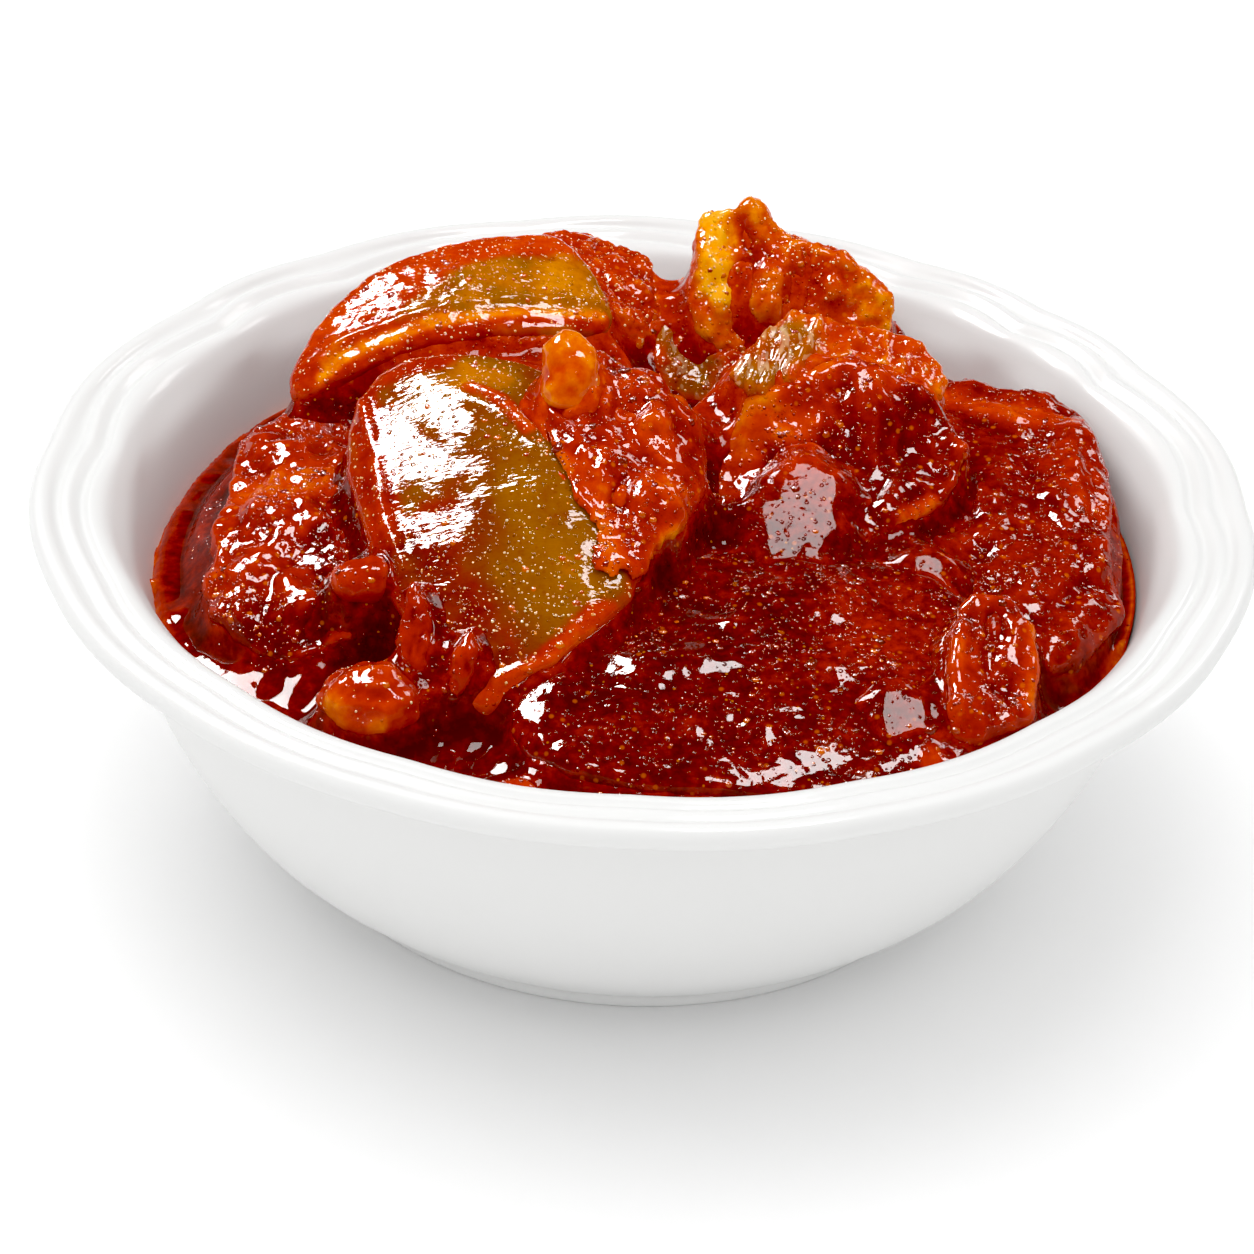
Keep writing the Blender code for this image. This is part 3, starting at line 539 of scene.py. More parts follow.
def cured_colour(tree, place, settings, blotch_mm, swing, grain=0.0):
    """Colour of cured flesh and masala: dark red in the hollows to amber where it thins, with
    painted shade in creases and painted light on raised folds.
    """
    blotch = add(tree, "ShaderNodeTexNoise", {
        "Vector": place, "Scale": scale_for(blotch_mm), "Detail": 4.0, "Roughness": 0.6})
    fine = add(tree, "ShaderNodeTexNoise", {
        "Vector": place, "Scale": scale_for(1.1), "Detail": 3.0, "Roughness": 0.6})
    ground = add(tree, "ShaderNodeAttribute", attribute_name="warmth").outputs["Fac"]
    proud = add(tree, "ShaderNodeAttribute", attribute_name="raised").outputs["Fac"]
    grain += 0.5 * swing
    value = add(tree, "ShaderNodeMath", {0: ground, 1: 0.5 * (swing + grain)},
                operation="SUBTRACT")
    # Raised folds are painted lighter and creases darker: painted light and shade.
    for source, share in ((blotch, swing), (fine, grain), (proud, settings.fold_light)):
        value = add(tree, "ShaderNodeMath", {0: source, 1: share, 2: value},
                    operation="MULTIPLY_ADD")
    return add(tree, "ShaderNodeValToRGB", {"Fac": value}, CURED_STOPS), blotch, fine


def flecked(tree, place, colour, size_mm, share, reach, tone, strength, fade=None):
    """Lay flecks of a tone over a colour, this strong, or less where fade is less than 1."""
    fleck = add(tree, "ShaderNodeMath", {0: dots(tree, place, size_mm, share, reach),
                                         1: strength}, operation="MULTIPLY")
    if fade:
        fleck = add(tree, "ShaderNodeMath", {0: fleck, 1: fade}, operation="MULTIPLY")
    return add(tree, "ShaderNodeMix", {0: fleck, 6: colour, 7: solid(tone)}, data_type="RGBA")


def clouded(tree, shader, place, tone, size_mm, darker):
    """Colour a surface with one tone, a hint darker in soft clouds of this size."""
    cloud = add(tree, "ShaderNodeTexNoise", {"Vector": place, "Scale": scale_for(size_mm)})
    mixed = add(tree, "ShaderNodeMix", {
        0: cloud, 6: solid(tone), 7: solid([c * darker for c in tone])}, data_type="RGBA")
    tree.links.new(mixed.outputs[2], shader.inputs["Base Color"])


def oily_relief(tree, shader, place, grains, wrinkle, others=(), calm=None):
    """Fine relief under the oil, less where calm is more. Heights are in mm.

    Grains have a size, a share of the places and a height, wrinkles a size, a detail and a
    height, and others are a pattern and its height.
    """
    layers = [(dots(tree, place, size, share), tall) for size, share, tall in grains]
    size, detail, tall = wrinkle
    folds = add(tree, "ShaderNodeTexNoise", {
        "Vector": place, "Scale": scale_for(size), "Detail": detail})
    layers += [*others, (folds, tall)]
    height = 0.0
    for pattern, tall in layers:
        height = add(tree, "ShaderNodeMath", {0: pattern, 1: tall, 2: height},
                     operation="MULTIPLY_ADD")
    if calm:
        rough = add(tree, "ShaderNodeMath", {0: 1.0, 1: calm}, operation="SUBTRACT")
        height = add(tree, "ShaderNodeMath", {0: height, 1: rough}, operation="MULTIPLY")
    bump = add(tree, "ShaderNodeBump", {"Height": height, "Strength": 1.0, "Distance": MM})
    tree.links.new(bump.outputs[0], shader.inputs["Normal"])
    tree.links.new(bump.outputs[0], shader.inputs["Coat Normal"])


def porcelain_material(settings):
    """Glazed hard porcelain, dipped and fired: an even white under a clear glassy skin."""
    material, tree, shader, place = start_material(
        "white_glazed_porcelain", 0.4, inner=0.1, coat=0.2, coat_ior=1.45, coat_roughness=0.08)
    clouded(tree, shader, place, settings.porcelain, 22.0, 0.985)
    ripple = add(tree, "ShaderNodeTexNoise", {"Vector": place, "Scale": scale_for(9.0),
                                              "Detail": 1.0})
    bump = add(tree, "ShaderNodeBump", {"Height": ripple, "Strength": 0.12, "Distance": 0.0003})
    tree.links.new(bump.outputs[0], shader.inputs["Normal"])
    return material


def rind_material(settings):
    """Lemon rind soaked in brine and oil: waxy and pitted by pores, stained at its margins."""
    material, tree, shader, place = start_material("pickled_lemon_rind", 0.3,
                                                   coat_roughness=0.04)
    ground, blotch, fine = cured_colour(tree, place, settings, 4.5, 0.5)
    # Clean rind, by how ripe it is, with stains and dark pores.
    ripe = add(tree, "ShaderNodeAttribute", attribute_name="ripe").outputs["Fac"]
    ripe = add(tree, "ShaderNodeMath", {0: ripe, 1: 0.45}, operation="SUBTRACT")
    ripe = add(tree, "ShaderNodeMath", {0: blotch, 1: 0.9, 2: ripe}, operation="MULTIPLY_ADD")
    rind = add(tree, "ShaderNodeValToRGB", {"Fac": ripe}, RIND_STOPS)
    stain = add(tree, "ShaderNodeMapRange", {
        "Value": fine, "From Min": 0.5, "From Max": 0.8, "To Max": 0.4},
        interpolation_type="SMOOTHSTEP")
    rind = add(tree, "ShaderNodeMix", {0: stain, 6: rind, 7: solid(settings.rind_stain)},
               data_type="RGBA")
    rind = flecked(tree, place, rind, 0.9, 0.6, 0.3, settings.rind_stain, 0.3)
    # Threads of pale pith, drawn out along the piece.
    pulled = add(tree, "ShaderNodeMapping", {
        "Vector": place, "Rotation": (0.9, 0.0, -0.5), "Scale": (1.0, 0.16, 1.0)})
    threads = add(tree, "ShaderNodeTexNoise", {
        "Vector": pulled, "Scale": scale_for(0.9), "Detail": 1.0})
    threads = add(tree, "ShaderNodeMapRange", {
        "Value": threads, "From Min": 0.54, "From Max": 0.66}, interpolation_type="SMOOTHSTEP")
    pith = add(tree, "ShaderNodeAttribute", attribute_name="pith").outputs["Fac"]
    pith = add(tree, "ShaderNodeMath", {0: threads, 1: pith}, operation="MULTIPLY")
    rind = add(tree, "ShaderNodeMix", {0: pith, 6: rind, 7: solid(settings.droplet)},
               data_type="RGBA")
    # Masala lies over the rind where it isn't bare, with a blotchy edge.
    bare = add(tree, "ShaderNodeAttribute", attribute_name="bare").outputs["Fac"]
    bare = add(tree, "ShaderNodeMath", {0: bare, 1: 0.6}, operation="SUBTRACT")
    bare = add(tree, "ShaderNodeMath", {0: blotch, 1: 1.2, 2: bare}, operation="MULTIPLY_ADD")
    bare = add(tree, "ShaderNodeMapRange", {"Value": bare, "From Min": 0.1, "From Max": 0.9},
               interpolation_type="SMOOTHSTEP")
    colour = add(tree, "ShaderNodeMix", {0: bare, 6: ground, 7: rind}, data_type="RGBA")
    tree.links.new(colour.outputs[2], shader.inputs["Base Color"])
    turned = add(tree, "ShaderNodeMapping", {
        "Vector": place, "Rotation": (0.0, 0.0, -0.5), "Scale": (0.32, 1.0, 0.7)})
    creases = add(tree, "ShaderNodeTexNoise", {
        "Vector": turned, "Scale": scale_for(0.5), "Detail": 1.0})
    oily_relief(tree, shader, place, ((0.95, 0.6, 0.13), (0.55, 0.4, 0.05)), (2.2, 1.0, 0.05),
                [(creases, 0.05)])
    return material


def flesh_material(settings):
    """Lemon flesh cured in chilli oil: red, deep in its hollows and amber where it thins, with
    painted shade in its creases.
    """
    material, tree, shader, place = start_material("cured_lemon_flesh", 0.28)
    colour, _, _ = cured_colour(tree, place, settings, 4.0, 0.55)
    colour = flecked(tree, place, colour, 1.2, 0.3, 0.33, settings.crumb, 0.6)
    tree.links.new(colour.outputs[2], shader.inputs["Base Color"])
    oily_relief(tree, shader, place, ((0.95, 0.6, 0.12), (0.6, 0.4, 0.06)), (2.0, 2.0, 0.1))
    return material


def masala_material(name, settings, oily):
    """Ground chilli and spice in oil: dark, wet and grainy, with orange flecks of seed.

    Oily sauce lies in pools, whose flecks sink and whose film is duller than on a piece.
    """
    material, tree, shader, place = start_material(name, 0.24, coat_ior=1.19 if oily else 1.3)
    colour, _, fine = cured_colour(tree, place, settings, 5.0, 0.45, 0.35)
    pool = add(tree, "ShaderNodeAttribute", attribute_name="pool").outputs["Fac"]
    thick = add(tree, "ShaderNodeMath", {0: 1.0, 1: pool}, operation="SUBTRACT")
    for size, share, tone, strength in ((1.3, 0.2, settings.crumb, 0.45),
                                        (0.7, 0.07, settings.fleck, 0.5)):
        colour = flecked(tree, place, colour, size, share, 0.3, tone, strength,
                         thick if oily else None)
    tree.links.new(colour.outputs[2], shader.inputs["Base Color"])
    oily_relief(tree, shader, place, ((0.95, 0.5, 0.08), (0.6, 0.4, 0.05)), (2.2, 1.0, 0.04),
                [(fine, 0.01)], pool if oily else None)
    return material


def seed_material(name, settings):
    """Seed, garlic and chilli skin stained by oil: smooth, amber to red under a wet film."""
    material, tree, shader, place = start_material(name, 0.25, coat_roughness=0.05)
    colour, _, _ = cured_colour(tree, place, settings, 3.0, 0.45)
    tree.links.new(colour.outputs["Color"], shader.inputs["Base Color"])
    oily_relief(tree, shader, place, ((0.95, 0.4, 0.05),), (1.8, 1.0, 0.08))
    return material


def grain_material(name, tone, other):
    """Grains of ground seed swollen with oil: each is a small bright bead."""
    material, tree, shader, place = start_material(name, 0.3, coat_ior=1.6,
                                                   coat_roughness=0.12)
    blotch = add(tree, "ShaderNodeTexNoise", {"Vector": place, "Scale": scale_for(3.0)})
    share = add(tree, "ShaderNodeMapRange", {"Value": blotch, "From Min": 0.35,
                                             "From Max": 0.65})
    colour = add(tree, "ShaderNodeMix", {0: share, 6: solid(tone), 7: solid(other)},
                 data_type="RGBA")
    tree.links.new(colour.outputs[2], shader.inputs["Base Color"])
    return material


# ------------------------------------------------------------ bowl form
def fine_section():
    """Round the bowl's section by a smooth curve through its points, in three parts each."""
    points = [Vector(p[:2]) for p in BOWL_SECTION]
    sharp = [p[2] for p in BOWL_SECTION]
    line = []
    for k in range(len(points) - 1):
        a, b = points[k], points[k + 1]
        before = points[k - 1] if k and not sharp[k] else a * 2 - b
        after = points[k + 2] if k + 2 < len(points) and not sharp[k + 1] else b * 2 - a
        for step in range(3):
            t = step / 3.0
            line.append(0.5 * (2 * a + (b - before) * t + (2 * before - 5 * a + 4 * b - after)
                               * t * t + (3 * a - before - 3 * b + after) * t ** 3))
    line.append(points[-1])
    return [(max(p.x, 0.0), p.y) for p in line]


def scallop(bearing):
    """Height of the scallop wave, -0.5 in a dip to 0.5 on a lobe, for a bearing in degrees."""
    dips = list(SCALLOP_DIPS) + [SCALLOP_DIPS[0] + 360]
    bearing = bearing % 360.0
    if bearing < dips[0]:
        bearing += 360.0
    index = max(k for k in range(len(dips) - 1) if dips[k] <= bearing)
    share = (bearing - dips[index]) / (dips[index + 1] - dips[index])
    lobe = math.sin(math.pi * share) ** 1.2 - 0.5
    front = min(max((0.15 - math.sin(math.radians(bearing))) / 0.5, 0.0), 1.0)
    return lobe * (1.0 - (1.0 - FRONT_WAVE) * front)


def wave_size(radius, height, settings):
    """How far the scallops move a point of the section in and out, in mm."""
    edge, ridge = settings.edge_wave / MM, settings.ridge_wave / MM
    # The wave starts below the rim, is full on its ridges, and small on its lip and under it.
    rise = smooth_step(40.0, 42.5, height)
    inner = 0.6 + 0.4 * smooth_step(60.5, 62.5, radius)
    outer = smooth_step(66.0, 68.0, radius)
    under = smooth_step(43.6, 43.0, height) if radius > 61.5 else 0.0
    size = ridge * inner * (1.0 - outer) + edge * outer
    return rise * (size * (1.0 - under) + edge * under)


def bowl_mesh(settings):
    """Turn the section about Z and press the scallops into its rim."""
    section = fine_section()
    count = settings.round_steps
    waves = [scallop(360.0 * k / count) for k in range(count)]
    places = [(0.0, 0.0, section[0][1])]
    for radius, height in section[1:-1]:
        size = wave_size(radius, height, settings)
        for k in range(count):
            a = math.tau * k / count
            r = radius + size * waves[k]
            places.append((r * math.cos(a), r * math.sin(a), height))
    places.append((0.0, 0.0, section[-1][1]))
    last = len(places) - 1
    faces = []
    for k in range(count):
        after = (k + 1) % count
        faces.append((0, 1 + k, 1 + after))
        for ring in range(len(section) - 3):
            a, b = 1 + ring * count, 1 + (ring + 1) * count
            faces.append((a + after, a + k, b + k, b + after))
        b = 1 + (len(section) - 3) * count
        faces.append((b + after, b + k, last))
    mesh = bpy.data.meshes.new("porcelain_bowl")
    mesh.from_pydata([(x * MM, y * MM, z * MM) for x, y, z in places], [], faces)
    mesh.shade_smooth()
    mesh.set_sharp_from_angle(angle=math.radians(60))
    return mesh


# ------------------------------------------------------------ food forms
def food_mesh(node, voxel, rounds):
    """Copy a CAD node as one fine, softly rounded skin."""
    piece = new_piece(node + "_dressed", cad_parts[node].data.copy())
    piece.data.materials.clear()
    weld = piece.modifiers.new("weld", "WELD")
    weld.merge_threshold = 0.01 * MM
    remesh = piece.modifiers.new("even skin", "REMESH")
    remesh.mode = "VOXEL"
    remesh.voxel_size = voxel
    soften = piece.modifiers.new("soften", "SMOOTH")
    soften.factor = 0.5
    soften.iterations = rounds
    bake_modifiers(piece)
    return piece


def press_folds(mesh, folds):
    """Raise or sink the skin along each named fold."""
    places = vertex_array(mesh)
    normals = vertex_array(mesh, "normal")
    for points, width, height in folds:
        away = line_distance(places / MM, points)
        places = places + normals * (height * MM * np.exp(-(away / width) ** 2))[:, None]
    mesh.vertices.foreach_set("co", places.ravel())
    mesh.update()


def store_form(mesh):
    """Store how far each vertex stands out from the skin round it, -1 to 1, to paint shade into
    creases and light onto folds.
    """
    rounds, full = 14, 0.25 * MM
    normals = vertex_array(mesh, "normal")
    proud = ((vertex_array(mesh) - relaxed(mesh, rounds)) * normals).sum(1)
    set_attribute(mesh, "raised", np.clip(proud / full, -1.0, 1.0))


def lay_piece(node, settings, material):
    """Make the fine version of a food node, paint its tones and fix it to the bowl."""
    facts = PIECES[node]
    rounds = 4 if facts["finish"] in ("seed", "chilli") else 8
    piece = food_mesh(node, settings.skin, rounds)
    press_folds(piece.data, facts.get("folds", ()))
    # The shift gives each piece its own stretch of the pattern.
    shift = sum(ord(letter) for letter in node) * 0.0013
    mesh = run_tree(piece, COATING, {
        "Lump Size": settings.lump_size * facts.get("broad", 1.0),
        "Lump Height": settings.lump_height * facts["lumps"],
        "Crumb Size": settings.crumb_size,
        "Crumb Height": settings.crumb_height * facts["crumbs"],
        "Fibre Size": facts.get("fibre_size", 3.4) * MM,
        "Fibre Height": facts.get("fibres", 0.0) * MM,
        "Fibre Run": facts.get("run", (0.0, -0.7, -0.7)),
        "Shift": shift, "Material": material})
    store_form(mesh)
    places = vertex_array(mesh) / MM
    set_attribute(mesh, "warmth", paint(places, facts["warmth"], facts.get("warm", ())))
    if "bare" in facts:
        set_attribute(mesh, "bare", paint(places, 0.0, facts["bare"]))
        set_attribute(mesh, "ripe", paint(places, facts["ripe"], facts.get("green", ())))
        set_attribute(mesh, "pith", np.full(len(places), facts.get("pith", 0.0)))
    finish_piece(piece, SLOTS[facts["finish"]], node)


def lay_pieces(settings, finish, material):
    """Lay every piece of one finish."""
    for node, facts in PIECES.items():
        if facts["finish"] == finish:
            lay_piece(node, settings, material)


# ------------------------------------------------------------ sauce
def grid_heights():
    """Look straight down on the heap: its heights in mm, and where only sauce shows."""
    bpy.context.view_layer.update()
    graph = bpy.context.evaluated_depsgraph_get()
    axis = np.arange(-MAP_HALF, MAP_HALF + MAP_CELL / 2.0, MAP_CELL)
    heights = np.full((len(axis), len(axis)), -1.0)
    open_sauce = np.zeros((len(axis), len(axis)))
    down = Vector((0.0, 0.0, -1.0))
    for i, x in enumerate(axis):
        for j, y in enumerate(axis):
            if x * x + y * y < MAP_HALF * MAP_HALF:
                above = Vector((x * MM, y * MM, 200.0 * MM))
                hit, spot, _, _, item, _ = bpy.context.scene.ray_cast(graph, above, down)
                if hit:
                    heights[i, j] = spot.z / MM
                    open_sauce[i, j] = item.name in ("sauce", "bowl")
    return axis, heights, open_sauce


def shifted(grid, i, j):
    """The grid moved by whole cells, with its edge cells repeated."""
    rows = np.clip(np.arange(grid.shape[0]) + i, 0, grid.shape[0] - 1)
    columns = np.clip(np.arange(grid.shape[1]) + j, 0, grid.shape[1] - 1)
    return grid[np.ix_(rows, columns)]


def rolled_over(grid, radius):
    """Fill every crease that a ball of this radius can't reach, as thick sauce does."""
    reach = int(radius / MAP_CELL)
    cells = [(i, j, (i * i + j * j) * MAP_CELL * MAP_CELL)
             for i in range(-reach, reach + 1) for j in range(-reach, reach + 1)]
    ball = [(i, j, math.sqrt(max(radius ** 2 - apart, 0.0)) - radius)
            for i, j, apart in cells if apart <= radius ** 2]
    over = np.max([shifted(grid, i, j) + drop for i, j, drop in ball], axis=0)
    return np.min([shifted(over, i, j) - drop for i, j, drop in ball], axis=0)


def blurred(grid, rounds):
    """Average each cell with its neighbours several times."""
    for _ in range(rounds):
        grid = (grid + shifted(grid, 1, 0) + shifted(grid, -1, 0)
                + shifted(grid, 0, 1) + shifted(grid, 0, -1)) / 5.0
    return grid


def sample_grid(axis, grid, x, y):
    """Read a grid between its cells."""
    step, end = axis[1] - axis[0], len(axis) - 1.001
    u = np.clip((x - axis[0]) / step, 0, end)
    v = np.clip((y - axis[0]) / step, 0, end)
    i, j = u.astype(int), v.astype(int)
    a, b = u - i, v - j
    return ((1 - a) * (1 - b) * grid[i, j] + a * (1 - b) * grid[i + 1, j]
            + (1 - a) * b * grid[i, j + 1] + a * b * grid[i + 1, j + 1])


def wall_radius(height):
    """Inner radius of the bowl at a height, in mm."""
    inside = BOWL_SECTION[:9]
    return float(np.interp(height, [p[1] for p in inside], [p[0] for p in inside]))


def disc_grid(count):
    """An even grid of squares bent to fill a disc of radius 1."""
    line = np.linspace(-1.0, 1.0, count)
    x, y = np.meshgrid(line, line, indexing="ij")
    wide = np.abs(x) > np.abs(y)
    radius = np.where(wide, x, y)
    with np.errstate(divide="ignore", invalid="ignore"):
        bearing = np.where(wide, math.pi / 4 * y / x, math.pi / 2 - math.pi / 4 * x / y)
    bearing = np.nan_to_num(bearing)
    return radius * np.cos(bearing), radius * np.sin(bearing)


def sauce_alone(ground, level):
    """Height of the sauce without the heap, in mm: level, with its swells and films."""
    base = np.full(len(ground), level)
    for height, reach, *points in SWELLS:
        away = line_distance(ground, [(x, y, 0.0) for x, y in points])
        base = np.maximum(base, level + height * np.exp(-(away / reach) ** 2))
    for middle, slope, reach in FILMS:
        apart = ground - np.array(middle)
        around = np.arctan2(apart[:, 1], apart[:, 0])
        edge = 1.0
        for size, lobes, start in FILM_LOBES:
            edge = edge + size * np.sin(lobes * around + start)
        beyond = np.maximum(np.hypot(apart[:, 0], apart[:, 1]) - reach * edge, 0.0)
        film = middle[2] + apart[:, :2] @ np.array(slope)
        base = np.maximum(base, film - 0.3 * beyond ** 2)
    return base


def sauce_heights(settings):
    """Fill the creases of the heap: the grid's axis and the sauce's heights on it, in mm."""
    level = settings.level
    axis, seen, open_sauce = grid_heights()
    x, y = np.meshgrid(axis, axis, indexing="ij")
    base = sauce_alone(np.stack([x.ravel(), y.ravel(), np.zeros(x.size)], axis=1), level)
    seen = np.maximum(seen, level)
    seen = np.where(np.hypot(x, y) > HEAP_RADIUS, level, seen)
    filled = rolled_over(np.maximum(seen, base.reshape(seen.shape)), settings.fillet)
    wet = np.maximum(smooth_step(0.05, 0.5, blurred(filled - seen, 3)),
                     smooth_step(0.4, 0.9, blurred(open_sauce, 2)))
    return axis, blurred(filled, 5) - SAUCE_SINK - HIDDEN_SINK * (1.0 - wet)


def sauce_top(settings):
    """Places of the sauce's top, in mm, on a grid that fills the bowl from wall to wall."""
    level = settings.level
    axis, heights = sauce_heights(settings)
    wall = wall_radius(level)
    unit_x, unit_y = disc_grid(SAUCE_LINES)
    x, y = unit_x * (wall + TOP_BITE), unit_y * (wall + TOP_BITE)
    height = sample_grid(axis, heights, x, y)
    away = wall - np.hypot(x, y)
    # No crease fill stands against the wall, and at the left a strip of it stays a flat pool.
    height = np.where(away < 1.2, np.minimum(height, level + 2.0), height)
    left = smooth_step(-40.0, -46.0, x) * smooth_step(-15.0, -9.0, y)
    brim = level + 0.3 + 1.1 * np.maximum(away - 3.5, 0.0)
    height -= left * np.maximum(height - brim, 0.0)
    # The oil climbs the glaze that it touches.
    height = height + 0.45 * np.exp(-np.maximum(away, 0.0) / 0.8)
    return np.stack([x.ravel(), y.ravel(), height.ravel()], axis=1)


def paint_sauce(mesh, places, level):
    """Store where the sauce is a pool, how calm its skin is and how warm its colour."""
    flat = 1.0 - smooth_step(level + 2.0, level + 6.0, places[:, 2])
    out = wall_radius(level) - np.hypot(places[:, 0], places[:, 1])
    film = np.zeros(len(places))
    for middle, _, reach in FILMS:
        away = np.hypot(places[:, 0] - middle[0], places[:, 1] - middle[1])
        film = np.maximum(film, 1.0 - smooth_step(reach, reach + 4.0, away))
    set_attribute(mesh, "pool", flat)
    set_attribute(mesh, "calm", np.maximum(0.55 * flat, 0.35 * film))
    warmth = 0.14 + 0.08 * flat * (1.0 - smooth_step(3.0, 9.0, out))
    warmth += 0.3 * smooth_step(47.0, 53.0, places[:, 2])
    warmth += 0.3 * (1.0 - smooth_step(0.1, 1.3, out))
    set_attribute(mesh, "warmth", warmth)


def sauce_mesh(settings):
    """The sauce: level oil at the wall, and masala drawn up into every crease of the heap."""
    count, last, bottom = SAUCE_LINES, SAUCE_LINES - 1, settings.level - SAUCE_DEPTH
    top = sauce_top(settings)
    faces = [(k, k + count, k + count + 1, k + 1) for k in range(last * count)
             if (k + 1) % count]
    # The border runs once round the grid, and a wall goes down from it to a flat foot.
    border = ([k for k in range(last)] + [k * count + last for k in range(last)]
              + [last * count + last - k for k in range(last)]
              + [(last - k) * count for k in range(last)])
    inner = wall_radius(bottom) + FOOT_BITE
    foot = np.stack([*(unit.ravel()[border] * inner for unit in disc_grid(count)),
                     np.full(len(border), bottom)], axis=1)
    places = np.concatenate([top, foot, [[0.0, 0.0, bottom]]])
    below, hub = len(top), len(places) - 1
    for k, corner in enumerate(border):
        after = (k + 1) % len(border)
        faces.append((border[after], corner, below + k, below + after))
        faces.append((below + after, below + k, hub))
    mesh = bpy.data.meshes.new("masala_sauce")
    mesh.from_pydata(places * MM, [], faces)
    paint_sauce(mesh, places, settings.level)
    return mesh


# ------------------------------------------------------------ spice
def scatter_points(calm_below, count, seed, low, high, sink, light):
    """Drop points onto the heap from above. Light picks the pieces: None for them all."""
    # Each ray starts this far off, leans up to this much and goes through this height.
    start, lean_most, middle, tries_each = 150.0 * MM, 0.7, 42.0 * MM, 12
    # Points gather in patches: mean cover, how much it swings, and patches in a metre.
    cover, swing, patches = 0.55, 0.5 if light else 1.6, 160.0
    bpy.context.view_layer.update()
    graph = bpy.context.evaluated_depsgraph_get()
    draw = np.random.default_rng(seed)
    places, facing, share, spin = [], [], [], []
    tries = 0
    while len(places) < count and tries < count * tries_each:
        tries += 1
        out = HEAP_RADIUS * MM * math.sqrt(draw.random())
        a, lean, way = (draw.random() * most for most in (math.tau, lean_most, math.tau))
        aim = Vector((math.sin(lean) * math.cos(way), math.sin(lean) * math.sin(way),
                      -math.cos(lean)))
        target = Vector((out * math.cos(a), out * math.sin(a), middle))
        hit, spot, normal, _, item, _ = bpy.context.scene.ray_cast(
            graph, target - aim * start, aim)
        if not hit:
            continue
        under = item.name.removesuffix("_dressed")
        if under == "porcelain_bowl" or light not in (None, under in LIGHT):
            continue
        if under == "masala_sauce" and spot.z < calm_below:
            continue
        thick = cover + swing * mathutils.noise.noise(spot * patches)
        if draw.random() > STREWN.get(under, 1.0) * thick:
            continue
        size = low + (high - low) * draw.random() ** 2.5
        places.append(spot - normal * size * sink)
        facing.append(normal)
        share.append(size / high)
        spin.append(draw.random() * math.tau)
    mesh = bpy.data.meshes.new("scatter_points")
    mesh.from_pydata(places, [], [])
    mesh.attributes.new("facing", "FLOAT_VECTOR", "POINT").data.foreach_set(
        "vector", np.array(facing, dtype=np.float32).ravel())
    set_attribute(mesh, "share", share)
    set_attribute(mesh, "spin", spin)
    return mesh


# ------------------------------------------------------------ stage
def add_light(name, place, aim, size, power):
    """Add a soft rectangular light that points at the bowl."""
    light = bpy.data.lights.new(name, "AREA")
    light.shape = "RECTANGLE"
    light.size, light.size_y = size
    light.energy = power
    item = bpy.data.objects.new(name, light)
    bpy.context.scene.collection.objects.link(item)
    item.location = place
    item.rotation_euler = (aim - Vector(place)).to_track_quat("-Z", "Y").to_euler()
    return item


def add_camera(settings):
    """Stand the camera where the photograph was taken from: high in front, slightly rolled."""
    rise, pitch, yaw, roll = (math.radians(angle) for angle in CAMERA_ANGLES)
    ahead = Vector((math.sin(yaw) * math.cos(pitch), math.cos(yaw) * math.cos(pitch),
                    -math.sin(pitch)))
    right = Vector((math.cos(yaw), -math.sin(yaw), 0.0))
    up = right.cross(ahead)
    right, up = (right * math.cos(roll) + up * math.sin(roll),
                 up * math.cos(roll) - right * math.sin(roll))
    data = bpy.data.cameras.new("camera")
    data.lens = settings.lens
    data.sensor_width = 36.0
    item = bpy.data.objects.new("camera", data)
    bpy.context.scene.collection.objects.link(item)
    place = Vector((0.0, -math.cos(rise), math.sin(rise))) * settings.distance
    turn = Matrix((right, up, -ahead)).transposed()
    item.matrix_world = Matrix.Translation(place) @ turn.to_4x4()
    return item


def lay_floor(settings):
    """Lay a plain matt floor under the bowl."""
    half = 4.0
    mesh = bpy.data.meshes.new("floor")
    mesh.from_pydata([(-half, -half, 0), (half, -half, 0), (half, half, 0), (-half, half, 0)],
                     [], [(0, 1, 2, 3)])
    material, tree, shader, place = start_material("plain_matt_floor", 0.9, inner=0.1, coat=0.0)
    clouded(tree, shader, place, settings.floor, 400.0, 0.99)
    mesh.materials.append(material)
    floor = new_piece("floor", mesh)


# ------------------------------------------------------------ settings
def colour(label, code, text):
    """A colour setting, given as sRGB hex."""
    return FloatVectorProperty(name=label, description=text, subtype="COLOR", size=3,
                               min=0.0, max=1.0, default=linear(code))


def length(label, value, text):
    """A length setting, in metres."""
    return FloatProperty(name=label, description=text, unit="LENGTH", precision=5,
                         default=value)


class PickleBowlSettings(PropertyGroup):
    """Sizes and colour of the porcelain bowl."""

    porcelain: colour("Porcelain", "#E3E3E2", "Colour of the glazed porcelain")
    round_steps: IntProperty(name="Round Steps", default=288, min=48, max=720,
                             description="How many steps the bowl takes round its axis")
    edge_wave: length("Edge Wave", 0.0008, "How far the scallops move the rim's edge")
    ridge_wave: length("Ridge Wave", 0.0017, "How far the scallops move the rim's ridges")


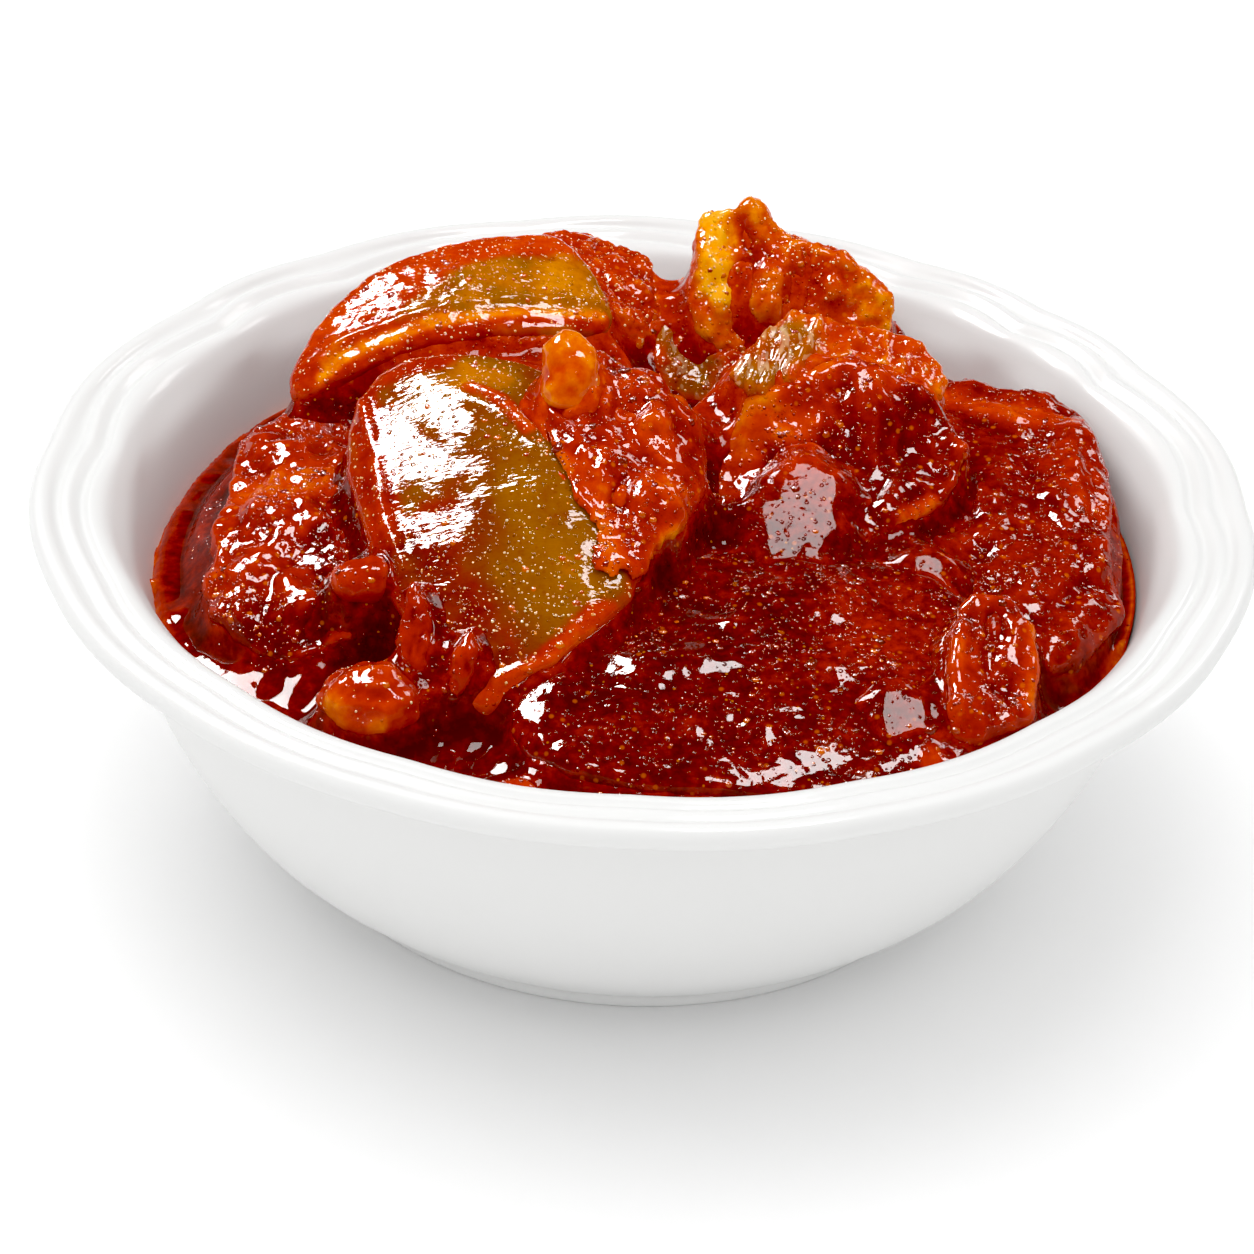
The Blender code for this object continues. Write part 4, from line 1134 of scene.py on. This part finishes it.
class PickleFoodSettings(PropertyGroup):
    """Sizes and colours of the pickle."""

    rind_stain: colour("Rind, Stained", "#7B2709", "Rind stained by chilli oil")
    crumb: colour("Crumb", "#D66610", "Crumbs of seed in the masala")
    fleck: colour("Fleck", "#E08624", "Ground seed in the masala")
    # Pale tone of the pith threads, and of the drops, whose paleness is a painted glint.
    droplet: colour("Droplet", "#F0D6A6", "Pale drops and grains on the lighter pieces")
    bead: colour("Bead", "#9C290B", "Grains swollen with oil")
    flake: colour("Flake", "#921D09", "Flakes of chilli skin")
    # Painted light and shade: how much lighter a raised fold is painted than a crease.
    fold_light: FloatProperty(name="Fold Light", default=0.14,
                              description="How much warmer a raised fold is than a crease")
    skin: length("Skin Step", 0.00042, "Size of the faces that a piece's skin is made of")
    lump_size: length("Lump Size", 0.0045, "Distance between the masala's lumps")
    lump_height: length("Lump Height", 0.0005, "Height of the masala's lumps")
    crumb_size: length("Crumb Size", 0.0016, "Distance between crumbs")
    crumb_height: length("Crumb Height", 0.00009, "Height of the crumbs")
    level: FloatProperty(name="Sauce Level", default=34.0,
                         description="Height of the level sauce above the table, in mm")
    fillet: FloatProperty(name="Crease Fill", default=3.0,
                          description="Radius of the sauce in the creases of the heap, in mm")
    bead_count: IntProperty(name="Beads", default=4500, description="Fine beads on the heap")
    drop_count: IntProperty(name="Drops", default=2600,
                            description="Pale drops on the lighter pieces")
    bead_size: length("Bead Size", 0.00055, "Width of the largest fine bead")
    crumb_count: IntProperty(name="Crumbs", default=700, description="Loose crumbs of seed")
    flake_count: IntProperty(name="Flakes", default=200, description="Flakes of chilli skin")


class PickleStageSettings(PropertyGroup):
    """Floor, lights and camera."""

    floor: colour("Floor", "#FBFBFB", "Colour of the plain floor")
    key_power: FloatProperty(name="Key Light", default=4.0, unit="POWER",
                             description="Power of the wide light overhead")
    back_power: FloatProperty(name="Back Softbox", default=30.0, unit="POWER",
                              description="Power of the softbox that draws the main gloss")
    top_power: FloatProperty(name="Top Softbox", default=8.0, unit="POWER",
                             description="Power of the softbox overhead")
    side_power: FloatProperty(name="Side Softbox", default=2.2, unit="POWER",
                              description="Power of the strip on the right")
    ambient: FloatProperty(name="Ambient", default=0.95,
                           description="Strength of the even light from all round")
    black_level: FloatProperty(name="Black Level", default=0.012,
                               description="Brightness that the picture shows as black")
    lens: FloatProperty(name="Lens", default=118.8, description="Focal length in mm")
    distance: length("Distance", 0.5, "Distance from the camera to the origin")


# ------------------------------------------------------------ operators
class PICKLE_OT_glaze_bowl(Operator):
    """Turn the scalloped porcelain bowl and glaze it"""

    bl_idname = "pickle.glaze_bowl"
    bl_label = "Glaze Bowl"

    def execute(self, context):
        settings = context.scene.pickle_bowl
        mesh = bowl_mesh(settings)
        mesh.materials.append(porcelain_material(settings))
        finish_piece(new_piece("porcelain_bowl", mesh), "porcelain", "bowl")
        return {"FINISHED"}


class PICKLE_OT_lay_rind(Operator):
    """Lay the pieces that show their rind"""

    bl_idname = "pickle.lay_rind"
    bl_label = "Lay Rind Pieces"

    def execute(self, context):
        settings = context.scene.pickle_food
        lay_pieces(settings, "rind", rind_material(settings))
        return {"FINISHED"}


class PICKLE_OT_lay_flesh(Operator):
    """Lay the pieces that show their flesh"""

    bl_idname = "pickle.lay_flesh"
    bl_label = "Lay Flesh Pieces"

    def execute(self, context):
        settings = context.scene.pickle_food
        lay_pieces(settings, "flesh", flesh_material(settings))
        return {"FINISHED"}


class PICKLE_OT_lay_masala(Operator):
    """Lay the broad piece that is coated in masala"""

    bl_idname = "pickle.lay_masala"
    bl_label = "Lay Masala Piece"

    def execute(self, context):
        settings = context.scene.pickle_food
        lay_pieces(settings, "masala", masala_material("wet_masala_coating", settings, False))
        return {"FINISHED"}


class PICKLE_OT_lay_small_pieces(Operator):
    """Lay the seed, the chunks and the strips of chilli"""

    bl_idname = "pickle.lay_small_pieces"
    bl_label = "Lay Small Pieces"

    def execute(self, context):
        settings = context.scene.pickle_food
        lay_pieces(settings, "seed", seed_material("oiled_seed", settings))
        lay_pieces(settings, "chilli", seed_material("oiled_chilli_skin", settings))
        return {"FINISHED"}


class PICKLE_OT_pour_sauce(Operator):
    """Pour the sauce round the pieces"""

    bl_idname = "pickle.pour_sauce"
    bl_label = "Pour Sauce"

    def execute(self, context):
        settings = context.scene.pickle_food
        material = masala_material("masala_in_oil", settings, True)
        piece = new_piece("masala_sauce", sauce_mesh(settings))
        run_tree(piece, COATING, {
            "Lump Size": settings.lump_size, "Lump Height": settings.lump_height * 0.4,
            "Crumb Size": settings.crumb_size, "Crumb Height": settings.crumb_height * 0.6,
            "Shift": 0.0, "Material": material})
        store_form(piece.data)
        finish_piece(piece, "masala_sauce", "sauce")
        return {"FINISHED"}


class PICKLE_OT_scatter_spice(Operator):
    """Scatter beads of oil, crumbs of seed and flakes of chilli over the heap"""

    bl_idname = "pickle.scatter_spice"
    bl_label = "Scatter Spice"

    def execute(self, context):
        settings = context.scene.pickle_food
        bead = settings.bead_size
        # The pale drops are pale to paint glints onto the lighter pieces.
        pale = grain_material("pale_oil_droplet", settings.droplet, settings.fleck)
        deep = grain_material("oil_swollen_grain", settings.bead, settings.flake)
        dark = grain_material("ground_seed_crumb", settings.crumb, settings.bead)
        red = grain_material("chilli_flake", settings.flake, settings.rind_stain)
        # Name, slot, material, height and length against width, how many, seed, least and
        # largest size, how deep each sinks, and on light pieces, on others, or None for all.
        jobs = (
            ("oil_beads", "seed", deep, 0.8, 1.0, settings.bead_count, 11, 0.35 * bead, bead,
             0.15, False),
            ("oil_drops", "seed", pale, 0.7, 1.0, settings.drop_count, 14, 0.3 * bead,
             0.85 * bead, 0.15, True),
            ("seed_crumbs", "seed", dark, 0.75, 1.2, settings.crumb_count, 12, 0.4 * MM,
             1.2 * MM, 0.2, None),
            ("chilli_flakes", "chilli_skin", red, 0.3, 1.3, settings.flake_count, 13, 0.8 * MM,
             1.7 * MM, 0.08, False),
        )
        # The points are all placed first, so that no grain lands on another.
        calm_below = (settings.level + 1.5) * MM
        points = [scatter_points(calm_below, *rest) for _, _, _, _, _, *rest in jobs]
        for mesh, (name, slot, material, flat, long, _, _, _, high, *_) in zip(points, jobs):
            piece = new_piece(name, mesh)
            run_tree(piece, SCATTER, {"Grain Size": high, "Flatness": flat, "Length": long,
                                      "Material": material})
            finish_piece(piece, slot)
        return {"FINISHED"}


class PICKLE_OT_set_stage(Operator):
    """Set the floor, the lights and the camera"""

    bl_idname = "pickle.set_stage"
    bl_label = "Set Stage"

    def execute(self, context):
        settings = context.scene.pickle_stage
        scene = context.scene
        lay_floor(settings)
        # One wide light shows the colours, and three softboxes draw the gloss alone.
        aim = Vector((0.0, 0.0, 0.04))
        key = add_light("key_light", (-0.15, 0.08, 0.95), aim, (0.9, 0.9), settings.key_power)
        key.visible_glossy = False
        for name, place, size, power in (
                ("back_softbox", (-0.46, 0.42, 0.78), (0.38, 0.32), settings.back_power),
                ("top_softbox", (0.17, 0.02, 0.94), (0.28, 0.26), settings.top_power),
                ("side_softbox", (0.52, 0.58, 0.58), (0.22, 0.26), settings.side_power)):
            box = add_light(name, place, aim, size, power)
            box.visible_diffuse = False
        world = bpy.data.worlds.new("studio")
        scene.world = world
        world.use_nodes = True
        background = world.node_tree.nodes["Background"]
        background.inputs["Color"].default_value = (1, 1, 1, 1)
        background.inputs["Strength"].default_value = settings.ambient
        world.cycles_visibility.glossy = False
        scene.view_settings.view_transform = "Standard"
        scene.view_settings.use_curve_mapping = True
        scene.view_settings.curve_mapping.black_level = [settings.black_level] * 3
        scene.camera = add_camera(settings)
        return {"FINISHED"}


# ------------------------------------------------------------ panel and start
class PICKLE_PT_sidebar(Panel):
    """Lists the steps that dress the bowl"""

    bl_label = "Lemon Pickle Bowl"
    bl_idname = "PICKLE_PT_sidebar"
    bl_space_type = "VIEW_3D"
    bl_region_type = "UI"
    bl_category = "Pickle"

    def draw(self, context):
        for step in STEPS:
            self.layout.operator(step.bl_idname)
        for group in ("pickle_bowl", "pickle_food", "pickle_stage"):
            settings = getattr(context.scene, group)
            box = self.layout.box()
            for name in settings.__annotations__:
                box.prop(settings, name)


STEPS = (PICKLE_OT_glaze_bowl, PICKLE_OT_lay_rind, PICKLE_OT_lay_flesh, PICKLE_OT_lay_masala,
         PICKLE_OT_lay_small_pieces, PICKLE_OT_pour_sauce, PICKLE_OT_scatter_spice,
         PICKLE_OT_set_stage)
CLASSES = (PickleBowlSettings, PickleFoodSettings, PickleStageSettings, *STEPS,
           PICKLE_PT_sidebar)


def register():
    """Register the classes and hang the settings on the scene."""
    for item in CLASSES:
        bpy.utils.register_class(item)
    bpy.types.Scene.pickle_bowl = PointerProperty(type=PickleBowlSettings)
    bpy.types.Scene.pickle_food = PointerProperty(type=PickleFoodSettings)
    bpy.types.Scene.pickle_stage = PointerProperty(type=PickleStageSettings)


def unregister():
    """Take the settings and the classes away again."""
    del bpy.types.Scene.pickle_bowl
    del bpy.types.Scene.pickle_food
    del bpy.types.Scene.pickle_stage
    for item in reversed(CLASSES):
        bpy.utils.unregister_class(item)


def main():
    """Dress the bowl, step by step."""
    register()
    bpy.ops.pickle.lay_rind()
    bpy.ops.pickle.lay_flesh()
    bpy.ops.pickle.lay_masala()
    bpy.ops.pickle.lay_small_pieces()
    bpy.ops.pickle.pour_sauce()
    bpy.ops.pickle.glaze_bowl()
    bpy.ops.pickle.scatter_spice()
    bpy.ops.pickle.set_stage()


if __name__ == "__main__":
    main()
